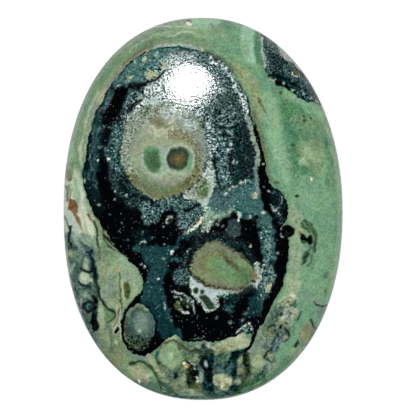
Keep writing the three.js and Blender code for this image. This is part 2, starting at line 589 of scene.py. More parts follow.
ROCK_DETAIL_AND_SHADE: tuple[Paint, ...] = (
    # The top, with streaks that run along the rim.
    stroke(Tint.PALE_STREAK, 1.6, 0.75, (128, 50, 140, 42.5, 150, 38, 160, 33.5, 172, 30), 1.2),
    stroke(Tint.MEADOW, 1.6, 0.8, (122, 52, 134, 43, 148, 35, 164, 28.5), 1.2),
    stroke(Tint.OLIVE_GREY, 1.5, 0.7, (142, 40, 152, 35, 162, 31.5, 178, 29), 1.0),
    stroke(Tint.PALE_STREAK, 2, 0.9, (150, 28.5, 162, 26, 175, 25.5, 187, 26.5, 198, 27), 1.8),
    stroke(Tint.TAN_PALE, 1.6, 0.7, (158, 25, 172, 23, 186, 22), 1.2),
    stroke(Tint.PALE_STREAK, 1.8, 0.9, (168, 36, 180, 33, 190, 32.5, 198, 34), 1.8),
    stroke(Tint.OLIVE, 1.8, 0.5, (150, 43, 162, 40, 172, 39), 1.2),
    oval(Tint.WHITE, 1.6, 1, 188, 24.2, 3.6, 1.3),
    stroke(Tint.RUST, 1.4, 0.9, (185, 22.3, 191, 22), 1.4),
    stroke(Tint.OLIVE_GREY, 1.6, 0.7, (209, 25, 214, 29, 221, 31), 1.4),
    oval(Tint.TAN_GREEN, 3, 0.7, 208, 46, 6, 3, 20),
    oval(Tint.MINT_STRIP, 3, 0.8, 221, 53.6, 6, 2.6, 35),
    stroke(Tint.TAN, 2, 0.5, (214, 47, 224, 52, 232, 60, 240, 70, 246, 80), 1.6),
    stroke(Tint.BROWN, 1.6, 0.6, (230, 64, 236, 69, 243, 76), 1.4),
    stroke(Tint.BROWN, 1.8, 0.7, (258, 98, 262, 105, 265, 112), 2.2, 1.4),
    # The rim that the pool wears at the upper left.
    stroke(Tint.HALO, 2, 0.9, (91, 121, 94, 113, 99, 101, 105, 90, 111, 81, 118, 71.5, 127, 62.5, 137, 54,
        147, 48.5, 158, 45.5), 4, 3),
    stroke(Tint.BROWN, 1.6, 0.6, (124, 63, 134, 55, 143, 49.5, 152, 46), 2),
    stroke(Tint.SILVER, 1.5, 0.85, (154, 47, 164, 45.2, 176, 45, 188, 46.3, 196, 48.6), 2.2),
    stroke(Tint.TAN_ROSE, 1.8, 0.6, (158, 43.5, 172, 42.5, 188, 43, 200, 47), 1.6),
    patch(Tint.CREAM_WARM, 2, 0.9, 97, 103, 99, 95, 104, 89, 107, 92, 106, 98, 101, 104),
    patch(Tint.BEIGE, 1.6, 0.9, 90, 120, 92, 112, 96, 106, 98, 108, 95, 116, 92, 123),
    patch(Tint.BEIGE, 1.6, 0.9, 106, 90, 110, 83, 113, 79, 115, 82, 111, 88, 107, 93),
    stroke(Tint.TAN_ROSE, 1.5, 0.8, (89, 112, 94, 103, 99, 94, 105, 85), 1.1),
    stroke(Tint.BROWN_PALE, 1.4, 0.8, (113, 78, 120, 68.6, 128, 61, 138, 53.4), 1.1),
    stroke(Tint.PALE_STREAK, 1.8, 0.7, (99, 92, 93, 103, 88.5, 114, 85.5, 126), 1.8),
    stroke(Tint.TAN_PALE, 1.8, 0.9, (91, 123, 87, 136, 85, 148, 84, 160), 2, 1.4),
    stroke(Tint.PALE_STREAK, 1.8, 0.75, (86, 124, 82.5, 138, 81, 152, 80.5, 166), 1.8, 2.4),
    stroke(Tint.OLIVE_GREY, 1.8, 0.8, (84, 128, 80, 142, 78.5, 156, 78, 166), 1.4),
    # The left side.
    oval(Tint.FERN, 5, 0.7, 76, 166, 4, 6),
    stroke(Tint.SLATE, 3, 0.9, (65, 166, 62.6, 184), 5),
    oval(Tint.BROWN_WARM, 1.8, 0.9, 70, 176, 2.6, 5.6),
    stroke(Tint.SLATE_DEEP, 1.6, 0.7, (67, 172, 68, 180), 1.4),
    stroke(Tint.CREAM_BRIGHT, 2, 0.6, (74, 170, 78, 180, 80, 192, 84, 204), 2),
    stroke(Tint.SAGE, 2, 0.8, (71, 184, 73, 194, 79, 203), 1.6),
    patch(Tint.BROWN_WARM, 1.6, 1, 69, 198, 73, 199.6, 77, 203, 78.6, 209, 77.6, 213.6, 73, 212, 68.4, 208),
    stroke(Tint.BROWN_PALE, 2, 0.95, (75, 211, 77.5, 218, 80, 226), 6.4, 2.6),
    stroke(Tint.RUST, 1.6, 0.9, (74.4, 212, 76, 218), 1.6),
    stroke(Tint.CREAM_BRIGHT, 1.6, 0.8, (82, 197, 84, 210, 90, 226, 92, 238), 1.6),
    stroke(Tint.TAN, 1.8, 0.6, (84, 216, 85, 226, 89, 236), 1.4),
    stroke(Tint.CREAM_BRIGHT, 1.6, 0.8, (77, 214, 82, 220, 83, 232), 1.4),
    stroke(Tint.TAN, 2, 0.8, (80, 226, 82, 231, 86, 237), 2.4, 1.4),
    stroke(Tint.BROWN, 1.6, 0.7, (68, 184, 69, 192, 68.5, 199), 1.6),
    stroke(Tint.SLATE_DEEP, 1.8, 0.8, (66, 186, 66, 194, 66.5, 200), 2.2),
    stroke(Tint.CREAM_BRIGHT, 2, 0.7, (81, 192, 85, 206, 89, 218), 2.2),
    stroke(Tint.TAN_PALE, 2.5, 0.9, (85, 203, 89, 210, 93, 217), 3),
    stroke(Tint.BROWN_WARM, 1.6, 0.9, (88.5, 214, 91, 220, 95, 226, 97, 232), 2.4, 1.6),
    stroke(Tint.CREAM_BRIGHT, 3, 0.6, (81, 214, 86, 222, 91, 233), 4),
    patch(Tint.SILVER, 4, 0.7, 68, 216, 74, 218, 80, 232, 76, 236, 70, 228),
    stroke(Tint.SLATE_DEEP, 1.6, 0.8, (64, 216, 67, 224, 70, 232), 1.6),
    stroke(Tint.INK, 1.8, 0.9, (70.5, 228, 70, 234, 70, 241, 72, 248), 3.4, 1.6),
    stroke(Tint.SLATE_DEEP, 1.8, 0.9, (66, 236, 68, 244, 69, 252), 2),
    oval(Tint.CELADON, 4, 0.7, 76, 256, 5, 5),
    oval(Tint.TAN_PALE, 2, 1, 71.5, 256, 2.8, 6, -8),
    stroke(Tint.GREEN_DEEP, 1.6, 1, (94, 222, 97, 231, 98, 240, 99.5, 250, 99.5, 260), 2.6, 1.8),
    patch(Tint.OLIVE_GREY, 1.8, 1, 109, 238, 114, 243, 119, 253, 115, 252, 110, 246),
    stroke(Tint.GREEN_DEEP, 1.4, 0.9, (103, 230, 104, 238, 109, 245, 113, 250), 1.6),
    stroke(Tint.TAN, 1.8, 0.85, (99, 250, 100, 262, 103, 272, 105, 282), 2),
    stroke(Tint.PALE_STREAK, 1.6, 0.75, (99, 216, 104, 226, 110, 236, 116, 246), 2),
    stroke(Tint.TAN, 1.5, 0.8, (96, 218, 101, 227, 104, 236), 1.4),
    # The field at the lower left.
    patch(Tint.MOSS, 1.6, 1, 123, 284, 127, 282, 129.5, 286, 129, 297, 126, 298, 123, 293),
    patch(Tint.CREAM, 1.6, 0.6, 120, 281, 123, 279, 125, 283, 122.5, 290, 124, 299, 121, 296),
    oval(Tint.ORANGE, 1.2, 0.9, 117.5, 268.6, 1.8, 2.2),
    stroke(Tint.KERNEL_DARK, 1.3, 0.8, (119, 273, 120.4, 282, 119.6, 292, 120.5, 300), 1.3),
    stroke(Tint.MOSS, 1.4, 0.9, (119, 300, 120, 303, 122, 308), 1.6),
    stroke(Tint.SLATE, 1.4, 0.8, (112.5, 298, 116, 291), 1.4),
    oval(Tint.SILVER, 1.5, 1, 128.5, 278, 2.2, 1.8),
    patch(Tint.TAN_PALE, 2.4, 0.9, 98, 307, 102, 308, 105, 314, 105, 324, 100, 327, 97, 318),
    patch(Tint.FERN, 2, 1, 105, 308, 111, 309, 115, 313, 112, 320, 107, 322, 105, 316),
    stroke(Tint.CREAM_WARM, 1.8, 0.9, (118.5, 306, 118, 318, 113, 326), 4.4, 3),
    stroke(Tint.BROWN, 1.3, 0.8, (119.5, 309, 118.6, 317, 114, 325, 112.5, 330), 1.4),
    stroke(Tint.PALE_STREAK, 1.4, 0.9, (121, 311, 120, 320, 120.6, 332, 122, 340), 1.8),
    oval(Tint.PALE_STREAK, 1.6, 1, 115.6, 330, 3.4, 5),
    oval(Tint.CREAM_WARM, 1.5, 1, 116, 343, 2, 2, 30),
    oval(Tint.TAN_GREEN, 4, 0.8, 108, 340, 4, 7, -20),
    stroke(Tint.SLATE, 3, 0.8, (110, 330, 112, 342, 110, 352), 2),
    # The ringed spots of the left rim.
    oval(Tint.SAGE, 2, 1, 86, 262, 5, 7.6),
    oval(Tint.CELADON, 1.6, 1, 84, 258, 1.6, 2.6),
    oval(Tint.HALO_CREAM, 2, 0.9, 85.5, 267, 3.6, 3),
    stroke(Tint.SLATE_DEEP, 2, 0.9, (86, 256, 89.4, 260, 89.6, 266), 2.6),
    oval(Tint.CELADON, 4, 0.8, 81, 322, 4, 6),
    oval(Tint.CREAM, 1.8, 1, 85, 278.5, 5.4, 5.8),
    Paint(Edge(Oval(85, 278.5, 3.6, 3.6), 0, 1.1), Tint.TAN, 1.4, 0.6),
    oval(Tint.SILVER, 1.4, 0.9, 92, 279.5, 2, 1.8),
    oval(Tint.SAGE, 2.4, 1, 83, 294, 4, 4.4),
    stroke(Tint.SLATE_PALE, 5, 0.85, (72, 262, 75, 282, 80, 302, 89, 326, 100, 346), 7, 8),
    stroke(Tint.CELADON, 4, 0.9, (64, 240, 66, 256, 70, 272), 5, 3),
    oval(Tint.OLIVE_GREY, 4, 0.8, 70, 170, 4, 8),
    stroke(Tint.GREEN_DEEP, 2.5, 0.8, (93, 268, 95, 284, 97, 296), 4, 3),
    stroke(Tint.INK, 2, 0.9, (92, 296, 96, 304, 94.6, 313, 94, 321), 4.4),
    patch(Tint.JET, 1.8, 1, 89.6, 320, 94, 319, 97.4, 324, 98, 331, 94, 331.6, 91, 326),
    oval(Tint.TEAL_DEEP, 1.8, 1, 89, 307, 4.2, 4.6),
    stroke(Tint.SLATE_PALE, 1.4, 1, (87.4, 309, 87.6, 305.4, 90.4, 305), 1.3),
    oval(Tint.SAGE, 2, 0.8, 89, 317.5, 3, 3.6),
    # The bottom.
    stroke(Tint.SLATE_PALE, 3, 0.8, (128, 353, 138, 358, 147, 358), 4),
    patch(Tint.CREAM_WARM, 2.4, 0.9, 128, 371, 133, 366, 140, 366, 147, 370, 149, 377, 144, 379, 136, 379),
    oval(Tint.TAN_ROSE, 1.8, 0.9, 145, 380, 4.6, 2.4, 20),
    oval(Tint.PALE_STREAK, 2.5, 0.8, 150, 377, 3.4, 3.4),
    oval(Tint.WHITE, 1.2, 1, 139.4, 379.6, 0.9, 2.2),
    # Darker along the bottom rim: the rock's slate, and partly painted shade.
    stroke(Tint.SLATE_DEEP, 5, 0.9, (116, 374, 128, 384.6, 142, 392.6, 156, 397.4, 174, 401), 6.5),
    stroke(Tint.BOTTLE, 2.5, 0.9, (152, 378, 157, 384, 161, 391), 4),
    stroke(Tint.CREAM_WARM, 2.5, 0.85, (148, 355, 152, 361, 157, 368, 162, 376), 6, 4),
    stroke(Tint.SLATE_DEEP, 2, 0.9, (159, 352, 157, 357, 160, 364), 2.4, 1.4),
    stroke(Tint.SLATE_DEEP, 3, 0.6, (163, 368, 166, 374, 172, 380), 3),
    oval(Tint.LICHEN, 3, 1, 170, 356, 9.4, 12),
    oval(Tint.TAN_GREEN, 2.5, 0.9, 164.4, 352, 3, 7, 10),
    Paint(Edge(Oval(170, 355, 5.4, 6), 0, 1.5), Tint.MEADOW, 2, 0.9),
    oval(Tint.MINT_PALE, 2, 0.8, 170.4, 356, 2.2, 3),
    patch(Tint.TAN_PALE, 2, 1, 166, 341, 172, 335, 177, 339, 174, 342),
    oval(Tint.MEADOW, 3, 0.9, 180, 358, 5, 7, -20),
    oval(Tint.SLATE_PALE, 2.5, 0.7, 188, 353, 4, 3),
    oval(Tint.SLATE, 3, 0.8, 172, 374, 6, 5),
    oval(Tint.INK, 1.6, 0.8, 176, 376, 1.6, 3),
    patch(Tint.GREEN_DEEP, 2.2, 1, 187, 371, 190, 367, 196, 369, 199, 374, 196, 382, 193, 388, 189, 387,
        186, 379),
    patch(Tint.OLIVE, 2.2, 0.9, 193, 384, 199, 382, 201, 387, 197, 390, 192, 389),
    patch(Tint.TAN_GREEN, 3, 0.7, 189, 390, 198, 389, 200, 394, 192, 397),
    oval(Tint.TAN_GREEN, 3, 0.8, 184, 380, 3, 7),
    oval(Tint.CELADON, 2, 0.8, 201, 374, 2, 9),
    oval(Tint.TAN_GREEN, 3, 0.8, 195, 358, 6, 4),
    oval(Tint.SLATE_DEEP, 1.8, 1, 202.5, 347, 2.6, 2.6),
    oval(Tint.CREAM_WARM, 1.6, 1, 208, 346, 1.8, 3),
    patch(Tint.TEAL_DARK, 2.2, 1, 209, 355, 213, 353, 214, 362, 212.4, 371, 214, 381, 212.6, 390, 206, 389,
        204, 382, 203, 374, 204, 368, 209, 364),
    patch(Tint.HALO_CREAM, 1.6, 1, 213, 345, 220, 341, 228, 338, 235, 335, 240, 332, 245, 333, 247, 337,
        251, 340, 250, 344, 244, 346, 242, 350, 236, 352, 228, 353, 216, 354, 212, 350),
    oval(Tint.CREAM_WARM, 3, 0.8, 221, 347, 5, 4),
    oval(Tint.CREAM, 3, 0.5, 239, 338, 5, 3, -10),
    oval(Tint.TAN, 3, 0.5, 230, 344, 4, 3),
    patch(Tint.HALO_CREAM, 1.6, 1, 214, 377, 222, 374.5, 229, 376, 232, 380, 230, 385, 227, 389.5,
        218, 388, 213, 383),
    oval(Tint.CREAM_WARM, 3, 0.6, 221, 380, 4, 2.6),
    oval(Tint.JADE_MID, 3, 0.8, 224, 360, 6, 5),
    oval(Tint.SAGE, 2, 0.9, 229, 355, 3.4, 2.6),
    oval(Tint.TEAL, 2, 0.8, 226, 369, 4, 3),
    patch(Tint.TEAL_DARK, 2.4, 0.7, 230, 356, 236, 351, 246, 348, 245, 353, 239, 356, 236, 363, 236, 374,
        234, 379, 230, 375, 229, 366),
    oval(Tint.TEAL_DARK, 2, 1, 236, 388, 5, 3),
    oval(Tint.HALO_CREAM, 1.6, 0.9, 240.6, 359.4, 3.4, 3.4, 20),
    oval(Tint.HALO, 1.4, 1, 240.4, 365, 3, 1.8, 10),
    oval(Tint.TAN, 1.6, 1, 240, 371, 4.8, 3.8),
    oval(Tint.HALO_CREAM, 1.8, 0.8, 238.6, 370, 2.6, 2),
    oval(Tint.HALO, 1.6, 1, 237.5, 382, 3.6, 3.2),
    patch(Tint.GREEN_DEEP, 2, 1, 243, 353, 250, 353, 250, 366, 247, 374, 244, 366),
    stroke(Tint.OLIVE_DARK, 1.8, 0.95, (248, 370, 245, 380, 239, 389), 3.4, 2),
    stroke(Tint.OLIVE_DARK, 1.8, 0.6, (251, 372, 249, 381, 245, 390), 1.4),
    oval(Tint.TAN_PALE, 1.6, 0.9, 258.5, 361.5, 6.4, 6),
    stroke(Tint.TAN, 1.4, 0.9, (254.6, 362, 258, 359.6, 262.4, 361), 1.8),
    patch(Tint.SLATE, 3, 0.9, 255, 374, 261, 371, 265, 364, 268, 368, 264, 377, 256, 382),
    stroke(Tint.TEAL_DEEP, 1.6, 0.8, (256, 377, 261, 372, 264, 367), 1.6),
    # The lower right.
    # Painted shade: a darker band along the lower right rim.
    stroke(Tint.BOTTLE, 8, 0.8, (330, 308, 318, 332, 302, 353, 284, 370, 262, 384, 240, 394), 14),
    patch(Tint.SAGE, 2.4, 0.9, 275, 318, 279, 307, 284, 305, 289, 308, 288, 322, 282, 328, 274, 325),
    patch(Tint.SLATE, 1.6, 1, 281, 306.4, 283.4, 307.6, 282.6, 313, 279.4, 315, 277.6, 320, 274.6, 318,
        277, 313),
    stroke(Tint.SLATE_PALE, 1.8, 0.9, (286, 308, 288, 314, 286, 320), 2),
    patch(Tint.SLATE, 2, 0.7, 274, 330, 284, 327, 290, 331, 289, 340, 280, 342, 274, 338),
    patch(Tint.TEAL_GREY, 2, 0.95, 273, 338, 279, 338, 280, 346, 274, 352, 269, 350),
    stroke(Tint.SILVER, 1.3, 0.7, (277, 339, 276, 345, 272, 350), 1.2),
    oval(Tint.SAGE, 2.6, 0.9, 268, 321, 3, 5, 25),
    oval(Tint.TAN, 1.4, 1, 282.4, 324, 2, 2.8),
    oval(Tint.HALO_CREAM, 1.4, 1, 280.6, 319.6, 1.8, 2),
    oval(Tint.TAN, 1.6, 0.9, 272, 333, 2.6, 2.8),
    oval(Tint.SLATE_PALE, 3, 0.7, 266, 347, 3, 4, 30),
    oval(Tint.TAN_GREEN, 2, 0.9, 269, 355, 3.4, 2.6, 20),
    oval(Tint.HALO_CREAM, 1.8, 1, 293.6, 313, 3.2, 5.6),
    oval(Tint.CREAM_WARM, 2, 0.9, 289, 302, 5, 3.4),
    patch(Tint.CREAM_BRIGHT, 1.6, 1, 289.6, 293, 293, 291.6, 296, 294, 295.6, 299, 291, 301),
    oval(Tint.CREAM, 1.6, 0.8, 299.5, 283, 1.6, 2),
    stroke(Tint.BOTTLE, 3, 0.5, (296, 316, 293, 326, 294, 334), 4),
    patch(Tint.BARK, 1.8, 1, 300.6, 339, 301, 331, 305.4, 322.6, 310.6, 323, 313, 328, 309.4, 336,
        303.4, 343),
    oval(Tint.OLIVE_GREY, 2, 0.8, 309, 327, 2.4, 2.6),
    oval(Tint.TAN_PALE, 2, 0.6, 303.6, 334, 1.4, 3.6, 20),
    stroke(Tint.BROWN_PALE, 1.4, 0.8, (305, 326, 306.6, 331, 305.6, 338), 0.9),
    oval(Tint.SLATE_PALE, 3, 0.6, 322, 312, 3, 5, 20),
    oval(Tint.TAN_GREEN, 5, 0.6, 296, 352, 5, 8, 40),
    # The right side.
    oval(Tint.HALO_CREAM, 1.5, 1, 299.4, 232.6, 3.2, 3.2),
    oval(Tint.BROWN_PALE, 1.5, 0.8, 299.6, 233, 1.8, 2),
    oval(Tint.SLATE, 2.5, 0.7, 326.5, 276, 2.2, 4, 15),
    oval(Tint.BROWN, 1.8, 0.8, 325, 290.5, 1.6, 2),
    oval(Tint.MINT_PALE, 3, 0.7, 303, 162, 3.6, 5),
    oval(Tint.JADE_DEEP, 3, 0.9, 305, 171, 4, 4),
    oval(Tint.BOTTLE, 3, 0.7, 294, 152, 3, 5),
    oval(Tint.TAN_PALE, 2.5, 0.7, 318, 160, 3, 3),
    oval(Tint.MINT_STRIP, 6, 0.8, 323, 174, 5, 9),
    oval(Tint.CREAM_BRIGHT, 1.4, 0.8, 312, 178.5, 1.4, 1.4),
    stroke(Tint.SLATE, 4, 0.4, (309, 245, 312, 256, 311, 268), 4),
)
ORB_RINGS_AND_SHEEN: tuple[Paint, ...] = (
    Paint(Patch(HALO), Tint.HALO, 3),
    patch(Tint.OLIVE, 5, 0.85, 131, 172, 141, 178, 156, 184, 172, 185, 186, 180, 196, 170, 201, 176,
        191, 189, 176, 196, 158, 198, 142, 191, 130, 180),
    stroke(Tint.TAN_GREEN, 5, 0.8, (146, 126, 139, 138, 136, 152, 138, 168, 146, 180), 8),
    stroke(Tint.FERN, 4, 0.75, (140, 170, 146, 180, 156, 187, 168, 189), 5),
    patch(Tint.HALO_PALE, 6, 1, 136, 140, 150, 128, 170, 124, 188, 134, 195, 150, 192, 168, 180, 179,
        160, 182, 144, 174, 136, 158),
    stroke(Tint.KERNEL_BROWN, 5, 0.65, (172, 136, 184, 136, 194, 146, 199, 160, 196, 174), 8),
    stroke(Tint.OLIVE, 3, 0.6, (194, 154, 195.5, 162, 194, 170), 3),
    oval(Tint.BROWN, 2.5, 0.7, 188, 180, 4.6, 1.8, -30),
    # Painted highlight: a pale oval under the highlight, on the orb's edge.
    oval(Tint.SILVER, 5, 0.8, 190, 124, 7, 6),
    oval(Tint.BARK, 2.5, 1, 158, 121.4, 6.6, 5.4),
    oval(Tint.OLIVE, 4, 0.5, 158, 122, 3.4, 3),
    oval(Tint.OLIVE_GREY, 4, 0.8, 145, 112, 6, 6),
    oval(Tint.SLATE_DEEP, 3, 0.7, 146, 110, 2.4, 4, 30),
    # Painted highlight: pale ovals on the orb's top, where the highlight's haze falls.
    oval(Tint.SILVER, 5, 0.75, 175, 114, 12, 7),
    oval(Tint.SILVER, 4, 0.8, 165, 112, 5, 4),
    stroke(Tint.CREAM_WARM, 5, 0.9, (146, 127, 156, 131, 167, 131, 172, 123), 7),
    *(Paint(Stroke(path, 1.5, 0.9), Tint.CREAM_BRIGHT, 1.5, 0.85) for path in ((146, 120, 148.6, 122.6),
        (149, 126, 152.6, 128.4), (154, 127, 156.6, 131, 160, 130.6), (155.6, 133, 158.6, 136),
        (161, 127.4, 163.6, 130.4), (164, 133, 166.6, 129), (168, 124.6, 170.6, 121.6, 174, 120),
        (165.6, 119, 169, 112.6), (171, 118, 172.4, 113), (159.4, 110, 160.6, 113.6), (153.6, 136.6,
        156, 139), (166.6, 138, 168.6, 134.6), (148, 131, 151, 132))),
    oval(Tint.OLIVE, 1.6, 0.7, 163, 124, 2, 1.2, 40),
    oval(Tint.OLIVE, 1.6, 0.7, 166.6, 126.6, 1.2, 2, 30),
    oval(Tint.KERNEL_RIM, 7, 0.9, 155, 162, 13, 16),
    oval(Tint.MINT_FADED, 5, 0.9, 164, 167, 5, 8, 20),
    oval(Tint.JADE_DEEP, 4, 1, 152.4, 159.6, 9, 13.4, -12),
    oval(Tint.KERNEL, 6, 1, 152.8, 161, 7, 10.4, -12),
    oval(Tint.KERNEL_CORE, 4, 1, 154.4, 161, 2.6, 6.6, -10),
    stroke(Tint.PALE_STREAK, 2, 0.7, (143.4, 154, 143.4, 161, 146, 168, 152, 175, 160, 178), 1.6),
    oval(Tint.KERNEL_RIM, 5, 0.8, 178, 159.6, 14.6, 15.4),
    oval(Tint.JADE_DEEP, 4, 0.75, 187, 161, 5.4, 11.6),
    stroke(Tint.PALE_STREAK, 1.5, 0.85, (172, 146.6, 178, 144.8, 185, 146.4, 190, 150.6, 193, 156,
        193.6, 162, 192, 167), 1.5),
    stroke(Tint.PALE_STREAK, 2, 0.7, (166.6, 150, 165.6, 157, 166.6, 164), 1.6),
    oval(Tint.KERNEL_DARK, 2.2, 1, 178, 158.6, 10.4, 10.8),
    Paint(Edge(Oval(178, 158.6, 9.4, 9.8), 0, 2.4), Tint.GREEN_DEEP, 2.4, 0.8),
    oval(Tint.BROWN, 6, 0.9, 178.4, 158.4, 5, 5),
    oval(Tint.BROWN_PALE, 3, 0.9, 178.6, 158, 1.5, 1.8),
    # The web beside the large orb.
    Paint(Patch(KNOT), Tint.SILVER, 4),
    oval(Tint.BEIGE, 5, 0.9, 196, 195, 8, 5, 30),
    patch(Tint.OLIVE_GREY, 4, 1, 198, 184, 202, 177, 208, 181, 210, 190, 206, 197, 200, 199, 196, 192),
    oval(Tint.KERNEL_CORE, 4, 0.8, 203.6, 190, 4, 7, -15),
    stroke(Tint.SLATE_DEEP, 2.2, 0.7, (200, 178, 197, 186, 198, 194), 1.6),
    stroke(Tint.SILVER_PALE, 1.6, 0.7, (201, 190, 208, 186), 1.2),
    # The second orb and the veil that hangs from it.
    Paint(Patch(VEIL), Tint.SILVER, 4),
    patch(Tint.SILVER_PALE, 5, 1, 191, 282, 200, 286, 216, 290, 218, 299, 214, 310, 207, 309, 198, 299,
        191, 293),
    stroke(Tint.SILVER, 3, 1, (262, 264, 261, 276, 258, 288), 5),
    Paint(Patch(SEED), Tint.KERNEL_BROWN, 3.5),
    Paint(Edge(Patch(SEED), -5.5, 6), Tint.OLIVE_GREY, 5, 0.8),
    oval(Tint.SEED_GREEN, 9, 1, 226, 269.6, 23, 11.5, 24),
    oval(Tint.KERNEL, 7, 0.6, 244, 276, 9, 8),
    oval(Tint.JADE_MID, 6, 0.6, 228, 268, 10, 4, 24),
    stroke(Tint.OLIVE, 3.5, 0.8, (221, 250, 228, 258, 234, 265, 239, 271), 5),
    stroke(Tint.OLIVE_DARK, 2.6, 0.9, (227, 257, 232, 263.6, 237, 269), 2.2),
    stroke(Tint.BROWN, 2.6, 0.75, (196, 278, 206, 283.6, 218, 287, 232, 288.4, 247, 285), 2.4),
    stroke(Tint.TAN_ROSE, 3, 0.6, (206, 286, 224, 290.6, 242, 290), 2.4),
    stroke(Tint.FERN, 2.4, 0.8, (246, 262, 254, 266, 260, 270), 2),
    oval(Tint.BROWN_PALE, 2.4, 0.9, 255.6, 276.6, 3, 2.6),
    # The small orb at the lower left.
    Paint(Patch(BUD), Tint.SLATE_DEEP, 3),
    stroke(Tint.OLIVE_GREY, 3, 0.85, (127, 322, 128.6, 312, 134, 306.4, 141, 305.4, 147, 308.6), 5.4),
    stroke(Tint.HALO_CREAM, 2, 0.6, (145, 307, 150.6, 312, 154, 320, 155.4, 328, 153.4, 338), 2),
    oval(Tint.KERNEL_DARK, 3, 0.7, 143, 311, 6, 2.4, 20),
    stroke(Tint.KERNEL_DARK, 3, 0.8, (126, 320, 126.4, 330, 130, 338), 5),
    patch(Tint.GREEN_DEEP, 6, 0.9, 125, 337, 134, 340, 146, 338, 153, 338, 150, 346, 142, 352, 133, 350,
        127, 343),
    stroke(Tint.TAN, 1.6, 0.7, (124.6, 334, 129, 342, 136.6, 348), 1.4),
    stroke(Tint.TEAL, 4, 0.5, (131, 316, 129.6, 324, 132, 333), 4),
    stroke(Tint.TEAL_GREY, 4, 0.8, (149, 314, 151, 324, 148, 335, 141, 339), 4),
    oval(Tint.SAGE, 8, 0.8, 141.6, 322.6, 8, 10.6),
    oval(Tint.HALO_CREAM, 2, 0.8, 138.6, 330, 2.2, 2.2),
)

# Where the matrix is broken into crumbs with dark rims.
BUSY_ZONES: tuple[Shape, ...] = (
    Patch((66, 240, 88, 244, 95, 262, 96, 300, 98, 332, 92, 340, 70, 300, 64, 256)),
    Patch((162, 344, 212, 344, 246, 352, 244, 394, 200, 400, 160, 394)),
    Patch((264, 322, 280, 300, 296, 300, 292, 328, 276, 352, 262, 350)),
    Patch((250, 362, 262, 352, 276, 360, 266, 386, 250, 394)),
)
# What stays whole among the crumbs.
WHOLE_SPOTS: tuple[Shape, ...] = (
    Oval(170, 356, 12, 13),
    Oval(85, 278.5, 6, 6),
    Oval(86.5, 262, 6, 9),
    Oval(89, 307, 6, 6),
    Oval(258.5, 361.5, 7, 7),
    Oval(204.6, 363.6, 6, 7),
)
# Where the matrix is only a little restless.
STREAKY_ZONES: tuple[Shape, ...] = (
    Patch((100, 326, 118, 330, 128, 352, 150, 360, 158, 386, 130, 384, 106, 360)),
    Patch((98, 232, 116, 250, 140, 272, 142, 288, 124, 304, 118, 330, 98, 326)),
    Patch((284, 100, 330, 110, 336, 180, 292, 182, 284, 140)),
    Patch((288, 212, 304, 214, 300, 260, 302, 300, 282, 306)),
    Patch((206, 44, 240, 58, 262, 92, 266, 118, 252, 112, 240, 80, 222, 58)),
)

# Where the rock glitters like salt; round the highlight, its sparks are partly painted glints of the
# highlight.
GRITTY_ZONES: tuple[Shape, ...] = (
    Patch((150, 60, 200, 52, 226, 62, 244, 94, 251, 120, 253, 180, 236, 182, 212, 186, 206, 150, 198, 118,
        186, 106, 160, 110, 150, 122, 130, 130, 118, 124, 128, 96, 142, 86)),
    Patch((112, 122, 124, 120, 121, 164, 130, 184, 116, 184, 110, 166)),
    Stroke((172, 130, 188, 136, 199, 152, 199, 168, 190, 182), 8),
    Stroke((186, 262, 190, 248, 200, 238, 216, 235, 232, 241, 246, 252), 6),
    Patch((136, 204, 162, 198, 196, 197, 200, 224, 178, 232, 150, 228)),
    Stroke((266, 230, 268, 258, 266, 286), 7),
    Patch((264, 40, 276, 48, 284, 62, 302, 78, 318, 100, 296, 96, 270, 74)),
    Patch((170, 250, 190, 246, 192, 290, 172, 290)),
    Oval(228, 304, 16, 10),
    Stroke((196, 128, 180, 112, 150, 112, 135, 122, 127, 140, 126, 158, 132, 176), 11),
    Edge(Patch(HALO), 5, 9),
    Oval(140, 236, 10, 8),
    Patch((272, 190, 284, 196, 286, 212, 282, 224, 274, 212)),
    Patch((126, 336, 152, 337, 148, 350, 134, 351)),
    Stroke((113, 176, 119, 190, 128, 200, 140, 208), 12),
)
# Where fine streaks run out from the large orb.
FIBROUS_ZONES: tuple[Shape, ...] = (
    Patch((204, 112, 236, 108, 236, 150, 232, 186, 216, 188, 208, 160, 208, 136)),
    Patch((100, 124, 122, 122, 119, 150, 124, 174, 106, 178, 96, 160)),
    Patch((124, 100, 146, 88, 142, 108, 126, 120)),
)
